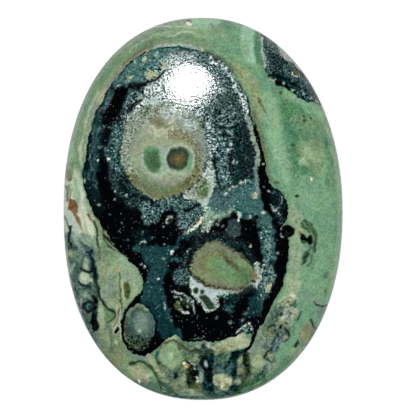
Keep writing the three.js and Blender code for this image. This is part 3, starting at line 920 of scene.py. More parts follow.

# What lies in the dark pools, with a painted highlight haze round the highlight.
POOL_CLOUDS_AND_SHEEN: tuple[Paint, ...] = (
    Paint(Edge(Patch(HALO), 4, 6), Tint.TEAL, 6, 0.55),
    oval(Tint.TEAL_DARK, 8, 0.6, 140, 236, 9, 7),
    patch(Tint.TEAL_DEEP, 5, 0.5, 272, 190, 284, 196, 286, 212, 282, 224, 274, 212),
    patch(Tint.TEAL_CAP, 3, 1, 117, 72, 125, 66, 135, 58, 145, 51, 155, 47, 170, 45, 185, 47, 200, 50,
        196, 58, 175, 64, 165, 68, 152, 72, 146, 80, 140, 84, 130, 84, 122, 86, 112, 86),
    patch(Tint.SLATE_DEEP, 5, 1, 176, 50, 200, 50, 216, 56, 230, 72, 242, 90, 250, 110, 254, 140, 253, 184,
        236, 184, 212, 190, 208, 150, 204, 122, 180, 104, 150, 100, 150, 80),
    # Painted highlight: a pale haze over the place of the highlight.
    patch(Tint.SILVER, 12, 0.8, 168, 54, 186, 52, 200, 55, 214, 62, 222, 74, 222, 92, 208, 104, 186, 110,
        164, 104, 154, 92, 152, 78, 160, 66),
    patch(Tint.TEAL_GREY, 6, 0.9, 196, 54, 214, 58, 230, 70, 240, 86, 236, 94, 222, 84, 206, 68, 192, 60),
    patch(Tint.SLATE_DEEP, 6, 0.85, 210, 96, 234, 96, 238, 116, 226, 124, 212, 121, 208, 108),
    patch(Tint.SILVER, 6, 0.85, 125, 126, 128, 116, 135, 104, 143, 95, 146, 84, 154, 80, 166, 80, 168, 102,
        152, 104, 140, 110, 130, 122),
    patch(Tint.TEAL_GREY, 4, 0.9, 128, 92, 140, 88, 146, 94, 138, 102, 128, 110, 122, 112),
    patch(Tint.SLATE_DEEP, 4, 0.8, 122, 102, 126, 98, 124, 108, 120, 116, 116, 124, 112, 124, 116, 110),
    patch(Tint.JET, 4, 0.9, 118, 88, 130, 86, 129, 92, 126, 102, 122, 112, 114, 127, 105, 126, 107, 108,
        112, 95),
    patch(Tint.INK, 6, 0.7, 237, 124, 250, 126, 254, 150, 252, 180, 236, 182, 233, 150),
    patch(Tint.TEAL_GREY, 5, 0.8, 206, 120, 230, 120, 232, 140, 231, 182, 216, 186, 209, 170, 207, 140),
    stroke(Tint.TEAL_DARK, 4, 0.8, (237, 128, 238, 140, 240, 165, 238, 182), 5),
    stroke(Tint.SLATE_PALE, 4, 0.95, (228, 66, 236, 78, 242, 92, 246, 108, 250, 122), 5, 6),
    patch(Tint.TEAL_GREY, 3, 1, 140, 206, 150, 203, 162, 200, 174, 196, 190, 197, 198, 203, 200, 224,
        190, 234, 180, 228, 178, 214, 163, 212, 157, 222, 148, 226, 141, 216),
    stroke(Tint.TEAL, 7, 0.55, (112, 172, 118, 189, 128, 200, 140, 207), 9),
    stroke(Tint.INK, 4, 0.85, (122, 184, 131, 194, 141, 200, 153, 203), 4.4),
    patch(Tint.TEAL_DEEP, 3, 1, 140, 243, 150, 246, 160, 246, 170, 243, 178, 238, 186, 234, 196, 232,
        190, 238, 182, 243, 176, 250, 170, 256, 168, 265, 167, 275, 164, 285, 164, 295, 166, 303, 172, 310,
        174, 320, 176, 327, 181, 333, 180, 340, 168, 338, 160, 335, 156, 322, 152, 312, 147, 305, 143, 300,
        144, 290, 145, 280, 147, 270, 143, 260, 138, 252, 135, 247),
    patch(Tint.TEAL_DARK, 8, 0.8, 146, 300, 156, 306, 166, 316, 176, 328, 176, 338, 162, 334, 154, 320),
    patch(Tint.TEAL, 3.5, 1, 208, 205, 212, 195, 220, 190, 232, 188, 245, 182, 253, 180, 258, 190,
        262, 205, 268, 215, 272, 225, 275, 240, 273, 255, 270, 262, 265, 262, 262, 245, 260, 232, 257, 222,
        250, 218, 240, 216, 230, 214, 212, 214),
    patch(Tint.TEAL_GREY, 5, 0.9, 209, 199, 220, 192, 234, 196, 230, 208, 210, 210),
    patch(Tint.TEAL, 3.5, 0.85, 258, 215, 270, 218, 276, 232, 276, 245, 273, 258, 272, 270, 273, 282,
        270, 292, 264, 300, 260, 308, 253, 312, 250, 305, 254, 297, 257, 290, 262, 283, 264, 270, 265, 258,
        264, 245, 262, 230),
    stroke(Tint.TEAL_DEEP, 4, 0.7, (256, 308, 250, 314, 243, 322), 6, 3),
    stroke(Tint.TEAL_DARK, 6, 0.7, (259, 290, 255, 302, 250, 312), 8),
    Paint(Edge(Patch(SEED), 6, 7), Tint.SLATE_DEEP, 6, 0.5),
    oval(Tint.TEAL_GREY, 3, 0.9, 281, 218.6, 3.4, 4.6),
    oval(Tint.TEAL_GREY, 3, 0.6, 275, 207.6, 4, 3, 20),
    patch(Tint.TEAL_DEEP, 4, 0.85, 86, 125, 96, 114, 104, 122, 101, 150, 98, 180, 96, 204, 90, 196,
        85, 180, 85, 150),
    stroke(Tint.INK, 2.4, 0.7, (90, 122, 88, 140, 86, 160), 3),
    patch(Tint.TEAL, 5, 0.75, 111, 126, 121, 128, 118, 150, 121, 166, 114, 171, 109, 158),
    oval(Tint.TEAL_GREY, 4, 0.6, 94, 138, 3, 12, 6),
    stroke(Tint.INK, 6, 0.7, (90, 182, 94, 196, 99, 208), 9),
    oval(Tint.INK, 3, 0.6, 104, 132.6, 5, 3),
    oval(Tint.INK, 2.4, 0.95, 104.4, 143.4, 6, 3.8),
    oval(Tint.INK, 2.4, 0.95, 103.4, 156.6, 5.4, 5.6),
    stroke(Tint.SLATE_PALE, 1.5, 0.6, (93, 122, 89, 145, 88, 168, 90, 180), 1.3),
    stroke(Tint.TEAL_GREY, 1.6, 0.8, (97, 124, 94, 145, 93, 170, 96, 186), 1.3),
    stroke(Tint.INK, 1.4, 0.7, (95, 128, 91.4, 147, 90.6, 166, 93, 184), 1),
    stroke(Tint.INK, 1.5, 0.8, (91, 124, 87, 146, 86, 168), 1.2),
    stroke(Tint.TEAL_DARK, 3, 0.9, (100, 106, 105, 97, 112, 90, 121, 85), 4),
    patch(Tint.TEAL_DEEP, 2.5, 1, 171, 258, 179, 256, 181, 262, 174, 264),
    patch(Tint.TEAL_GREY, 3, 0.85, 171, 270, 180, 268, 188, 274, 188, 283, 176, 283),
    stroke(Tint.SLATE_DEEP, 4, 0.9, (190, 250, 186, 262, 187, 276, 192, 286), 5),
    patch(Tint.TEAL_DEEP, 3, 0.8, 219, 295, 234, 294, 240, 299, 232, 302, 222, 301),
    oval(Tint.TEAL_DEEP, 3, 0.9, 228, 308, 7, 4),
    oval(Tint.TEAL_DEEP, 4, 0.7, 248, 214.6, 8, 2.4),
    oval(Tint.TEAL_DEEP, 4, 0.6, 264, 240, 2.4, 9),
    patch(Tint.TEAL_GREY, 3, 0.65, 228, 222, 236, 220, 243, 230, 240, 238, 230, 236, 226, 230),
    stroke(Tint.TEAL_DARK, 3, 0.8, (206, 240, 222, 241, 236, 247, 248, 255), 4),
    stroke(Tint.INK, 3, 0.8, (195, 237, 210, 237, 226, 239), 3),
    patch(Tint.MINT_FADED, 6, 0.85, 202, 211, 206, 205, 212, 209, 222, 213, 230, 211, 228, 217, 216, 221,
        210, 229, 203, 229),
    stroke(Tint.SLATE_PALE, 4, 0.6, (98, 114, 103, 104, 110, 94), 5),
    patch(Tint.SILVER, 6, 0.5, 194, 112, 208, 118, 214, 132, 215, 150, 208, 156, 202, 130),
    # Painted highlight: a pale oval under the highlight.
    oval(Tint.SILVER, 8, 0.75, 184, 112, 18, 7),
    oval(Tint.SLATE_DEEP, 4, 0.6, 206, 121, 6, 4),
    # Painted highlight: pale ovals at the highlight's right and left edges.
    oval(Tint.SILVER, 5, 0.45, 212, 101, 5, 5),
    oval(Tint.SILVER, 4, 0.6, 157, 72.6, 6, 3),
    oval(Tint.TEAL_DARK, 2, 1, 245, 329, 5, 4, -30),
    oval(Tint.SILVER, 5, 0.6, 139, 99, 5, 4, -30),
    oval(Tint.SLATE_DEEP, 4, 0.8, 199, 232, 5, 3),
    stroke(Tint.SILVER, 3, 0.8, (210, 56.5, 217, 61.5, 224, 70, 232, 81, 237, 89.5, 241.5, 98, 245, 108,
        248, 119), 4.5, 5),
    stroke(Tint.TEAL_GREY, 3, 1, (262, 36, 263, 52, 265, 66, 270, 76), 6),
    patch(Tint.TEAL_GREY, 4, 0.9, 266, 38, 278, 42, 290, 56, 304, 70, 316, 90, 322, 104, 300, 100, 284, 84,
        268, 72),
    patch(Tint.INK, 3, 0.5, 270, 56, 280, 58, 284, 66, 282, 76, 272, 74),
    patch(Tint.TEAL_DARK, 4, 0.7, 276, 72, 290, 78, 304, 86, 316, 92, 322, 104, 300, 98, 282, 88),
    patch(Tint.TEAL_DARK, 3, 0.8, 281, 80, 290, 85, 299, 92, 306, 99, 296, 96, 284, 88),
    stroke(Tint.SLATE_PALE, 3, 0.25, (300, 88, 308, 95, 318, 101), 3),
    stroke(Tint.INK, 2, 0.9, (284, 60, 292, 66, 299, 69, 304, 74), 2.6),
)

# Pale veins and crystals with clear edges.
VEINS: tuple[Paint, ...] = (
    *strokes(Tint.SAGE, ((247, 116, 249, 122, 251.5, 130, 253.5, 138, 256, 146, 257.5, 154, 256.5, 165),
        3.4, 5)),
    *strokes(Tint.SLATE_PALE, ((256.4, 164, 256, 172, 256.6, 182, 257, 194), 5, 5.4)),
    *strokes(Tint.CREAM_BRIGHT, ((184, 234.6, 190, 231, 196, 226, 202, 219), 1.2, 4.6)),
    *strokes(Tint.CREAM_WARM, ((131, 76.6, 127.5, 79, 124.5, 81), 3.4, 1.2)),
    *ovals(Tint.BROWN_WARM, (198, 221, 2.6, 2), (294, 72, 2.4, 1.2, 20)),
    *ovals(Tint.CREAM_WARM, (268, 286, 2.6, 5.4, 8), (145.3, 59.6, 2.6, 4.2), (150, 74.6, 4.4, 4.6), (165,
        66, 3.8, 3.2), (200.5, 49, 3.4, 1.6, 10)),
    *strokes(Tint.CREAM, ((284, 225, 281.6, 228, 281, 232, 283.5, 236.4), 1.1)),
    *strokes(Tint.SILVER, ((207.6, 213, 205, 220), 1.4), ((261.8, 36, 262.6, 52, 264, 66), 1.6),
        ((245, 331, 249, 328), 1.4), ((172, 292, 177, 291.6, 183, 294, 188, 298.6, 192, 304.6, 194, 312),
        2.2), ((181, 299, 185, 302, 187, 307), 1.5), ((162.6, 304, 165, 306, 164.6, 309), 1.6)),
    *strokes(Tint.TAN_PALE, ((145, 60, 144.6, 66), 1.8), ((151, 73, 158, 72.6), 4.4, 3), ((269, 78,
        275, 81.6), 2.6)),
    *ovals(Tint.CREAM, (163, 62, 1.8, 1.4), (294, 74.6, 3, 1, 25)),
    *ovals(Tint.TAN_PALE, (135, 63.4, 1.2, 1.8)),
    *ovals(Tint.ORANGE, (148.4, 51.2, 2.2, 2)),
    *ovals(Tint.SILVER, (156, 53.6, 1.6, 1.8), (176, 55, 1.6, 1.6)),
    *strokes(Tint.PALE_STREAK, ((116, 87, 120, 85.5), 2), ((236, 332.6, 243, 328.6, 249.4, 323.4), 1.5),
        ((249.4, 323.4, 251, 328, 252.4, 332), 2.2), ((180.6, 308.6, 183, 312.6, 187, 313), 2.4)),
    *ovals(Tint.JET, (280, 84, 3, 2.4), (286, 87, 3.6, 2, 10)),
    *patches(Tint.PEWTER, (279, 45, 280.4, 51, 282.4, 57, 288, 61, 294, 65.6, 300, 69.4, 306, 72, 304, 56,
        290, 40)),
    *patches(Tint.MOSS, (175, 302, 178, 300, 181, 304, 180.6, 309.6, 178, 311, 175, 308)),
    *strokes(Tint.SILVER, ((174, 297, 178, 296, 182, 299), 1.2), ((184, 295, 188, 300, 190, 306), 1.1),
        ((174, 303, 177, 305.4, 182, 306), 0.9)),
    *patches(Tint.GREEN_DEEP, (183, 296, 186, 296, 189.6, 301, 190, 307, 186, 306, 183, 301)),
)
# Lacy fringes round the orbs.
LACE: tuple[Paint, ...] = (
    *strokes(Tint.SILVER_PALE, ((207, 207, 204, 212, 203, 219), 1.6), ((211, 221, 207, 229), 1.4),
        ((193, 290, 194, 297, 201, 302.6, 205.6, 309, 211, 311, 216, 306.6, 217, 300), 1.3), ((194, 287,
        199, 291, 205, 294, 211, 300), 1.1), ((264.4, 262, 263, 270, 260.6, 279), 1.2), ((262, 264,
        256, 262.6), 1.2)),
    *strokes(Tint.CREAM, ((201, 230, 206, 232, 210, 228), 1.6)),
    *patches(Tint.SILVER_PALE, (146, 104, 152, 98, 160, 96, 158, 104)),
    *strokes(Tint.TEAL_GREY, ((99, 148.6, 103, 147, 108, 149), 1.3), ((100, 127.4, 107, 126, 114, 129),
        1.3), ((118, 118, 122, 112, 126, 106), 1.2), ((112, 124, 117, 119), 1.1)),
    *strokes(Tint.SLATE_PALE, ((269, 223, 269.4, 230), 2.4), ((267, 241, 268.4, 250, 268, 262, 267.6, 272),
        3, 1.6), ((262, 292, 265, 280, 264.6, 268), 1.4), ((272, 268, 272.4, 280), 1.6)),
)
# Cracks, holes, arcs and spots of black.
CRACKS: tuple[Paint, ...] = (
    *strokes(Tint.JET, ((269, 74.6, 276, 76, 283, 78.6, 290, 82, 298, 86.6, 307, 91), 2.4, 1.6), ((152, 80,
        156, 78, 160, 75, 163, 72, 167, 71), 2, 1.4), ((130, 87.4, 136, 87, 141, 86.4, 145, 84), 1.7),
        ((133, 89, 139, 91, 143, 94, 144, 98), 1.8), ((128, 112, 132, 105, 138, 101, 141, 99.6), 2.2),
        ((213.6, 156, 215.4, 166, 217, 178, 219, 186), 1.9), ((232.4, 150, 231, 160, 231.4, 173), 1.5),
        ((213, 122.6, 219, 126, 226, 128), 2), ((222, 134, 230, 136), 1.8), ((80.6, 268, 86, 271.4,
        92, 271), 1.8), ((103, 234, 108, 239, 113.4, 244.6), 1.7), ((188, 362, 192, 366, 196, 366), 2.4),
        ((185, 210.6, 192, 208, 199, 205.6), 2.6), ((199, 357.4, 203, 355.4, 207, 357), 1.8)),
    *strokes(Tint.OLIVE_DARK, ((206, 50.6, 214, 55, 222, 59.6, 228, 66, 234, 73), 1.1), ((165.6, 343.6,
        171, 341, 176.6, 342.6, 180, 346), 1.7)),
    *strokes(Tint.INK, ((86, 253, 90, 254, 93.4, 261, 95, 270, 96, 280, 98, 290, 100, 298, 104, 303.6,
        108, 308, 112, 310, 115, 314), 2.4, 2), ((95.6, 268, 97, 278), 3.4), ((98, 292, 100.6, 299), 3),
        ((79, 283, 83, 286.4, 89, 286.4), 1.7), ((314.4, 303, 317, 305.8, 320, 305.6, 324.6, 305.4), 1.7,
        1.2), ((311, 319.6, 313, 325, 316, 330), 1.6), ((269, 327.4, 276, 325.4), 2.6, 1.6), ((270, 348,
        266.6, 353, 264.4, 358), 1.9)),
    *ovals(Tint.INK, (92.6, 252.4, 1.6, 2), (233, 372, 2, 4), (252.6, 281.6, 2.6, 1.4)),
    *ovals(Tint.JET, (95, 325, 2.6, 5), (116.4, 331, 1.7, 3.4, 15), (280.6, 326.6, 1.5, 2), (278, 334.8,
        1.1, 1.1), (287.8, 231, 5.8, 5.4), (261.6, 266.4, 1.1, 2)),
    *strokes(Tint.WHITE, ((104.6, 235.6, 109, 240, 113.6, 244.4), 1.3)),
    *strokes(Tint.GREEN_DEEP, ((315.6, 331, 312, 338, 306, 344), 1.2), ((157, 378, 159.6, 385, 161, 391),
        1.6, 1), ((297, 320, 299, 315.6, 300.6, 311.4), 2, 1.2), ((104, 304, 108, 309, 113, 310.4,
        115.6, 314, 112, 319.6, 107, 322), 1.5), ((131, 365, 136, 361.8, 143, 362, 149, 365.6, 153.6, 371,
        157, 378), 3.2, 1.8), ((182, 346, 188, 349.6, 195, 350.6, 204, 352.4, 213, 352), 1.8, 2.6),
        ((196, 352.6, 201, 354.6, 207, 354), 1.6), ((303.4, 221, 307, 225, 311, 229, 314.4, 233,
        316.4, 239), 2.2, 1.6), ((302, 225.6, 306, 228.4, 310, 233), 2), ((305.4, 220, 309.6, 224,
        313.6, 228.6), 1.1), ((312, 236, 314.4, 243, 312.6, 251), 1.4), ((310.6, 255, 309.4, 261,
        307, 266), 1.2), ((300.4, 222.6, 304, 226), 1.2), ((316.4, 241, 315.4, 247, 314, 252), 2.2),
        ((311, 224.6, 314.6, 229.4, 317, 235), 1.2), ((307, 250, 310, 247, 312, 249), 1.2)),
    *patches(Tint.JET, (192.6, 369.6, 196, 369, 198, 372.6, 196, 377, 194.6, 381, 192, 379, 193.6, 374),
        (207.6, 370, 210.6, 368, 213, 371.6, 210.4, 376, 212.4, 380.6, 208.6, 383, 206.4, 377),
        (300.4, 233, 303.4, 234, 306, 236.4, 309, 236.6, 311.4, 235, 313, 238, 312.4, 242.4, 310, 244.8,
        308, 242, 304, 240.6, 301.6, 239.6)),
    *strokes(Tint.BOTTLE, ((310.4, 223, 313.6, 227), 1.4), ((309.6, 246, 307.6, 249), 1.4)),
    *patches(Tint.GREEN_DEEP, (307, 251, 309, 253.4, 306.6, 258.4, 304, 263.6, 301.4, 264, 302, 259,
        304.6, 254.6), (302, 240.6, 306, 242, 306, 244, 302.6, 243.4)),
    *strokes(Tint.INK, ((306.6, 252.6, 304.4, 257), 1.6), ((302.4, 262.6, 303.4, 260), 1.4), ((286, 329,
        288, 333, 289.4, 337), 1.8), ((297.4, 341, 296, 344, 294.6, 347), 1.7), ((298, 341.4, 299.4, 344),
        1.2), ((289, 306.6, 291.4, 305.4), 1.2), ((266, 359, 270, 362), 1.3), ((283, 341, 287, 341), 1)),
    *ovals(Tint.INK, (285.4, 323.6, 1.5, 1.3), (281, 314.4, 0.9, 1.4)),
    *ovals(Tint.GREEN_DEEP, (303.6, 116.6, 1.3, 1.2), (310.4, 118, 1.2, 1.2), (304, 120.4, 1, 1), (296,
        196.4, 2.6, 1.4, 20), (294, 145, 1.6, 1.1, -30), (196, 291.6, 2.4, 3.2), (203, 291.6, 2.2, 2)),
    *ovals(Tint.OLIVE_DARK, (280.6, 93, 1.1, 1.3)),
    *ovals(Tint.MOSS, (276.4, 183, 2.6, 1.6)),
    *ovals(Tint.BROWN, (250, 67.6, 1.3, 1)),
    *patches(Tint.GREEN_DEEP, (199, 296.6, 206, 294.6, 211, 299, 214, 305, 213, 308.6, 209, 308, 204, 303)),
    Paint(Edge(Oval(86.5, 262, 5.5, 8.4), 0, 1.3), Tint.SLATE_DEEP),
    Paint(Stroke((89, 254.6, 92, 261, 92, 268), 2), Tint.INK),
    Paint(Edge(Oval(89, 307, 5, 5.4), 0, 1.7), Tint.JET),
    Paint(Edge(Oval(278.6, 334.8, 2.9, 2.8), 0, 0.9), Tint.SLATE_DEEP),
    Paint(Edge(Oval(285, 337.4, 3.2, 3), 0, 0.9), Tint.SLATE_DEEP),
    Paint(Edge(Oval(180.6, 346.4, 2.3, 2.3), 0, 1.1), Tint.OLIVE_DARK),
    Paint(Edge(Oval(204.6, 363.6, 3.8, 5.6), 0, 2.8), Tint.JET),
)
# Small bright specks on top of all.
FLECKS: tuple[Paint, ...] = (
    *ovals(Tint.SILVER, (226, 193.6, 1.6, 1.2), (250, 217, 1.2, 2), (122, 223.4, 1, 1.3), (277, 254, 1.5,
        1.1, -20), (274.6, 275.6, 1.3, 1.6), (250.6, 246, 0.9, 1.6), (231, 323, 1.3, 2), (243, 320, 1,
        1.6)),
    *ovals(Tint.CREAM, (229.4, 190.6, 1.1, 1.7), (262.8, 212.6, 2, 2.2), (238.6, 214.6, 2.8, 3.4)),
    *ovals(Tint.SILVER_PALE, (232.4, 187, 1.9, 1.3), (85, 181, 1, 2.4), (115, 200.4, 1.3, 0.9), (98, 204.6,
        1.3, 1), (164, 243, 1.6, 1.2), (164, 258.6, 2, 1), (140.4, 263.8, 1.6, 1.1), (143.6, 267, 1, 1.7),
        (236.6, 162.6, 1.2, 1.2), (234, 161, 1, 2), (272.4, 206.6, 1.7, 1.2), (204.6, 363.4, 1.2, 2.2)),
    *ovals(Tint.TAN_ROSE, (236, 186.6, 1.5, 1.5), (195, 334.6, 1.1, 0.9), (203.6, 338, 1.1, 0.9)),
    *ovals(Tint.CREAM_WARM, (241, 182.6, 2.6, 1.5, -10), (255.4, 196, 2.8, 3)),
    *ovals(Tint.WHITE, (245, 181.6, 1.2, 1.2), (237.6, 219.6, 1.6, 2), (98, 160.5, 1.2, 1.2), (109, 158.5,
        1.2, 1.4), (116, 192.6, 1, 1.6), (172.4, 252, 1.2, 2.4), (164, 227.6, 1, 1), (158, 278.4, 1.6,
        1.3), (262.6, 163, 1, 1.1), (231, 144.6, 0.9, 1.7), (276.6, 208.6, 1.3, 1.3), (261, 295.4, 1, 1),
        (194, 368.6, 1.4, 0.9)),
    *ovals(Tint.BROWN_WARM, (255.4, 196, 0.9, 1.1)),
    *strokes(Tint.SILVER_PALE, ((126, 196, 127, 194), 1.6), ((140, 243, 142, 240.6, 144.4, 242), 1.7)),
    *strokes(Tint.SILVER, ((282, 197.6, 283.4, 200.6, 282.6, 204), 1.1)),
    *strokes(Tint.SLATE_PALE, ((192, 339, 196, 337.6, 201, 339), 0.9)),
    *ovals(Tint.SLATE_PALE, (172, 321, 2, 1.2)),
    *ovals(Tint.CREAM_BRIGHT, (184.4, 362.6, 2.4, 2.2), (196.6, 377.4, 1.2, 1.6), (197.6, 381.4, 1.2, 1.4),
        (280.4, 334.4, 1, 1.6), (291.4, 316.6, 1.2, 1.4), (311.6, 179, 0.8, 0.8), (302, 161, 0.8, 0.9)),
    *ovals(Tint.TAN_ROSE, (285, 337.6, 2, 1.8)),
    *ovals(Tint.TEAL_GREY, (231, 322, 2.6, 2), (245.6, 313, 2.6, 2), (228, 309, 3, 2.4), (216.6, 317, 1.2,
        1.6), (197.4, 317.6, 0.9, 1.8), (248, 309, 1.4, 1.6), (273, 193, 1.6, 1.4), (281, 208, 1.2, 1.6),
        (152, 238, 2, 1.2), (134, 222.6, 1.4, 1.2), (128, 240, 1.4, 1), (143, 232, 1.2, 1.6), (111, 214, 1,
        1.3), (118, 232, 1.2, 1)),
    *ovals(Tint.ORANGE, (186.8, 366.8, 1.4, 2.2)),
    *ovals(Tint.PALE_STREAK, (303, 90, 1.5, 0.9, 20), (303.6, 94, 1.6, 1, 30), (316.6, 101.6, 2, 0.9, 10),
        (284, 84.6, 1.2, 0.9), (292, 89.6, 1.4, 1, 20), (311, 98, 1.2, 0.8), (277, 80.6, 1, 0.8), (297.6,
        93, 1, 0.9), (271, 72, 1.2, 0.8)),
    *strokes(Tint.WHITE, ((191, 363, 194, 365.4), 1.2)),
    *ovals(Tint.SILVER, (268, 191.6, 1.8, 0.9), (273.6, 209, 1, 1.4), (279.6, 213, 1, 1.6), (264, 187, 0.8,
        1), (270.6, 204, 1, 1), (187, 300, 0.9, 1.8), (179, 303, 0.9, 1.2), (218, 224, 1.2, 1), (222.4,
        226, 1, 1)),
    Paint(Stroke((172.4, 217.6, 169, 216.4, 166.4, 219, 166.6, 223), 1.8), Tint.SILVER_PALE),
    Paint(Oval(170.2, 221, 1.8, 2.2), Tint.GREEN_DEEP),
)


@dataclass
class JasperPattern:
    """The stone's markings, as attributes on its mesh."""

    view: PhotoView
    edge_height: float
    dome_height: float
    half_width: float
    half_length: float
    drift: Point = (26.0, -18.0)  # how far the pattern shifts through the whole thickness, in pixels
    unrest: float = 3.0  # how much more it wanders there
    edge_slack: float = 0.01 * MM
    waves: tuple[Point, ...] = ((31.0, 0.8), (13.0, 0.6), (6.5, 0.4))  # length and size, in pixels
    wave_turns: tuple[float, ...] = (0.4, 1.7, 2.9)  # their directions, in radians

    def layers(self) -> tuple[Wash | Inlay | Region, ...]:
        """Every layer of the pattern."""
        pools = (Patch(MAIN_POOL), Patch(CORNER_POOL), Oval(287.5, 231, 5, 5))
        return (
            # The rock wash carries painted highlight haze and painted rim shade; the pool wash carries
            # painted highlight haze.
            Wash("rock", Tint.JADE_MID, ROCK_ZONES + ROCK_DETAIL_AND_SHADE + ORB_RINGS_AND_SHEEN),
            Wash("pool", Tint.JET, POOL_CLOUDS_AND_SHEEN, wander=2.6),
            Region("pool", pools),
            Region("halo", (Patch(HALO), Patch(KNOT)), soft=3),
            Region("seed", (Patch(SEED), Patch(VEIL)), soft=4.5),
            Region("bud", (Patch(BUD),), soft=1.0),
            Region("busy", BUSY_ZONES, WHOLE_SPOTS, soft=7),
            Region("streaky", STREAKY_ZONES, soft=12),
            Region("gritty", GRITTY_ZONES, soft=9),
            Region("fibrous", FIBROUS_ZONES, soft=9),
            Inlay("vein", VEINS),
            Inlay("lace", LACE),
            Inlay("crack", CRACKS),
            Inlay("fleck", FLECKS),
        )

    def depths(self, places: np.ndarray) -> np.ndarray:
        """How far under the dome each place of the edge and the back lies, as a share of the thickness.

        Args:
            places: rows of x, y and z, in metres.

        Returns:
            A column of shares: 0 on the dome.
        """
        low = places[:, 2] < self.edge_height - self.edge_slack
        share = np.clip((places[:, 0] / self.half_width) ** 2 + (places[:, 1] / self.half_length) ** 2, 0, 1)
        over = self.edge_height - places[:, 2] + (self.dome_height - self.edge_height) * np.sqrt(1 - share)
        return np.where(low, over / self.dome_height, 0)[:, None]

    def wandered(self, points: np.ndarray) -> np.ndarray:
        """The points moved by a slow, fixed wander, so that no traced curve stays too neat.

        Args:
            points: rows of x and y, in pixels.

        Returns:
            The moved points.
        """
        shift = np.zeros_like(points)
        for length, size in self.waves:
            for turn in self.wave_turns:
                phase = points @ np.array([math.cos(turn), math.sin(turn)]) * (2 * math.pi / length)
                shift[:, 0] += size / 2 * np.sin(phase + 3 * turn)
                shift[:, 1] += size / 2 * np.cos(phase * 1.13 + 5 * turn)
        return points + shift

    def mark(self, mesh: bpy.types.Mesh) -> int:
        """Writes the layers on the mesh.

        Args:
            mesh: the stone's mesh, in metres.

        Returns:
            How many attributes were written.
        """
        places = np.zeros(len(mesh.vertices) * 3, np.float32)
        mesh.vertices.foreach_get("co", places)
        places = places.reshape(-1, 3).astype(float)
        depth = self.depths(places)
        traced = self.view.pixels(places, self.edge_height) + depth * np.array(self.drift)
        shift = (self.wandered(traced) - traced) * (1 + self.unrest * depth)
        count = 0
        for layer in self.layers():
            points = traced + shift * getattr(layer, "wander", 1.0)
            for name, values in layer.fields(points).items():
                attribute = mesh.attributes.new(name, "FLOAT", "POINT")
                attribute.data.foreach_set("value", values.astype(np.float32))
                count += 1
        return count


@dataclass(frozen=True)
class Signal:
    """A number that runs through a node tree: arithmetic on it adds Math nodes."""

    tree: bpy.types.NodeTree
    socket: bpy.types.NodeSocket

    def math(self, operation: str, *others: "Signal | float") -> "Signal":
        """One Math node on this number and others.

        Args:
            operation: the node's operation.
            others: what it takes besides this number.

        Returns:
            The outcome.
        """
        node = self.tree.nodes.new("ShaderNodeMath")
        node.operation = operation
        for slot, value in zip(node.inputs, (self, *others)):
            feed(slot, value)
        return Signal(self.tree, node.outputs[0])

    def __add__(self, other: "Signal | float") -> "Signal":
        """The sum."""
        return self.math("ADD", other)

    def __sub__(self, other: "Signal | float") -> "Signal":
        """The difference."""
        return self.math("SUBTRACT", other)

    def __mul__(self, other: "Signal | float") -> "Signal":
        """The product."""
        return self.math("MULTIPLY", other)

    def __truediv__(self, other: "Signal | float") -> "Signal":
        """The quotient, which is 0 where the other is 0."""
        return self.math("DIVIDE", other)

    def __pow__(self, other: "Signal | float") -> "Signal":
        """The power."""
        return self.math("POWER", other)

    def blend(self, other: "Signal | float", share: "Signal | float") -> "Signal":
        """This number, turning into the other as the share goes from 0 to 1.

        Args:
            other: the number at a share of 1.
            share: how much of it, from 0 to 1.

        Returns:
            The blended number.
        """
        node = self.tree.nodes.new("ShaderNodeMix")
        for slot, value in zip(node.inputs, (share, None, self, other)):
            if value is not None:
                feed(slot, value)
        return Signal(self.tree, node.outputs[0])

    def rise(self, low: float, high: float) -> "Signal":
        """0 below the low number and 1 above the high one, with a smooth way between.

        Args:
            low: where the rise starts.
            high: where it ends.

        Returns:
            A number from 0 to 1.
        """
        node = self.tree.nodes.new("ShaderNodeMapRange")
        node.interpolation_type = "SMOOTHSTEP"
        for slot, value in zip(node.inputs, (self, low, high)):
            feed(slot, value)
        return Signal(self.tree, node.outputs[0])


def feed(slot: bpy.types.NodeSocket, value: "Signal | bpy.types.NodeSocket | float") -> None:
    """Links a signal or an output to an input, or sets the input's own value."""
    if isinstance(value, Signal):
        value = value.socket
    if isinstance(value, bpy.types.NodeSocket):
        slot.id_data.links.new(value, slot)
    else:
        slot.default_value = value


def add(tree: bpy.types.NodeTree, kind: str, inputs: dict[str | int, object] | None = None,
        **settings: object) -> bpy.types.Node:
    """A new node.

    Args:
        tree: the tree that gets it.
        kind: the node's type.
        inputs: what goes into its inputs, by name or number.
        settings: its own settings.

    Returns:
        The node.
    """
    node = tree.nodes.new(kind)
    for name, value in settings.items():
        setattr(node, name, value)
    for name, value in (inputs or {}).items():
        feed(node.inputs[name], value)
    return node


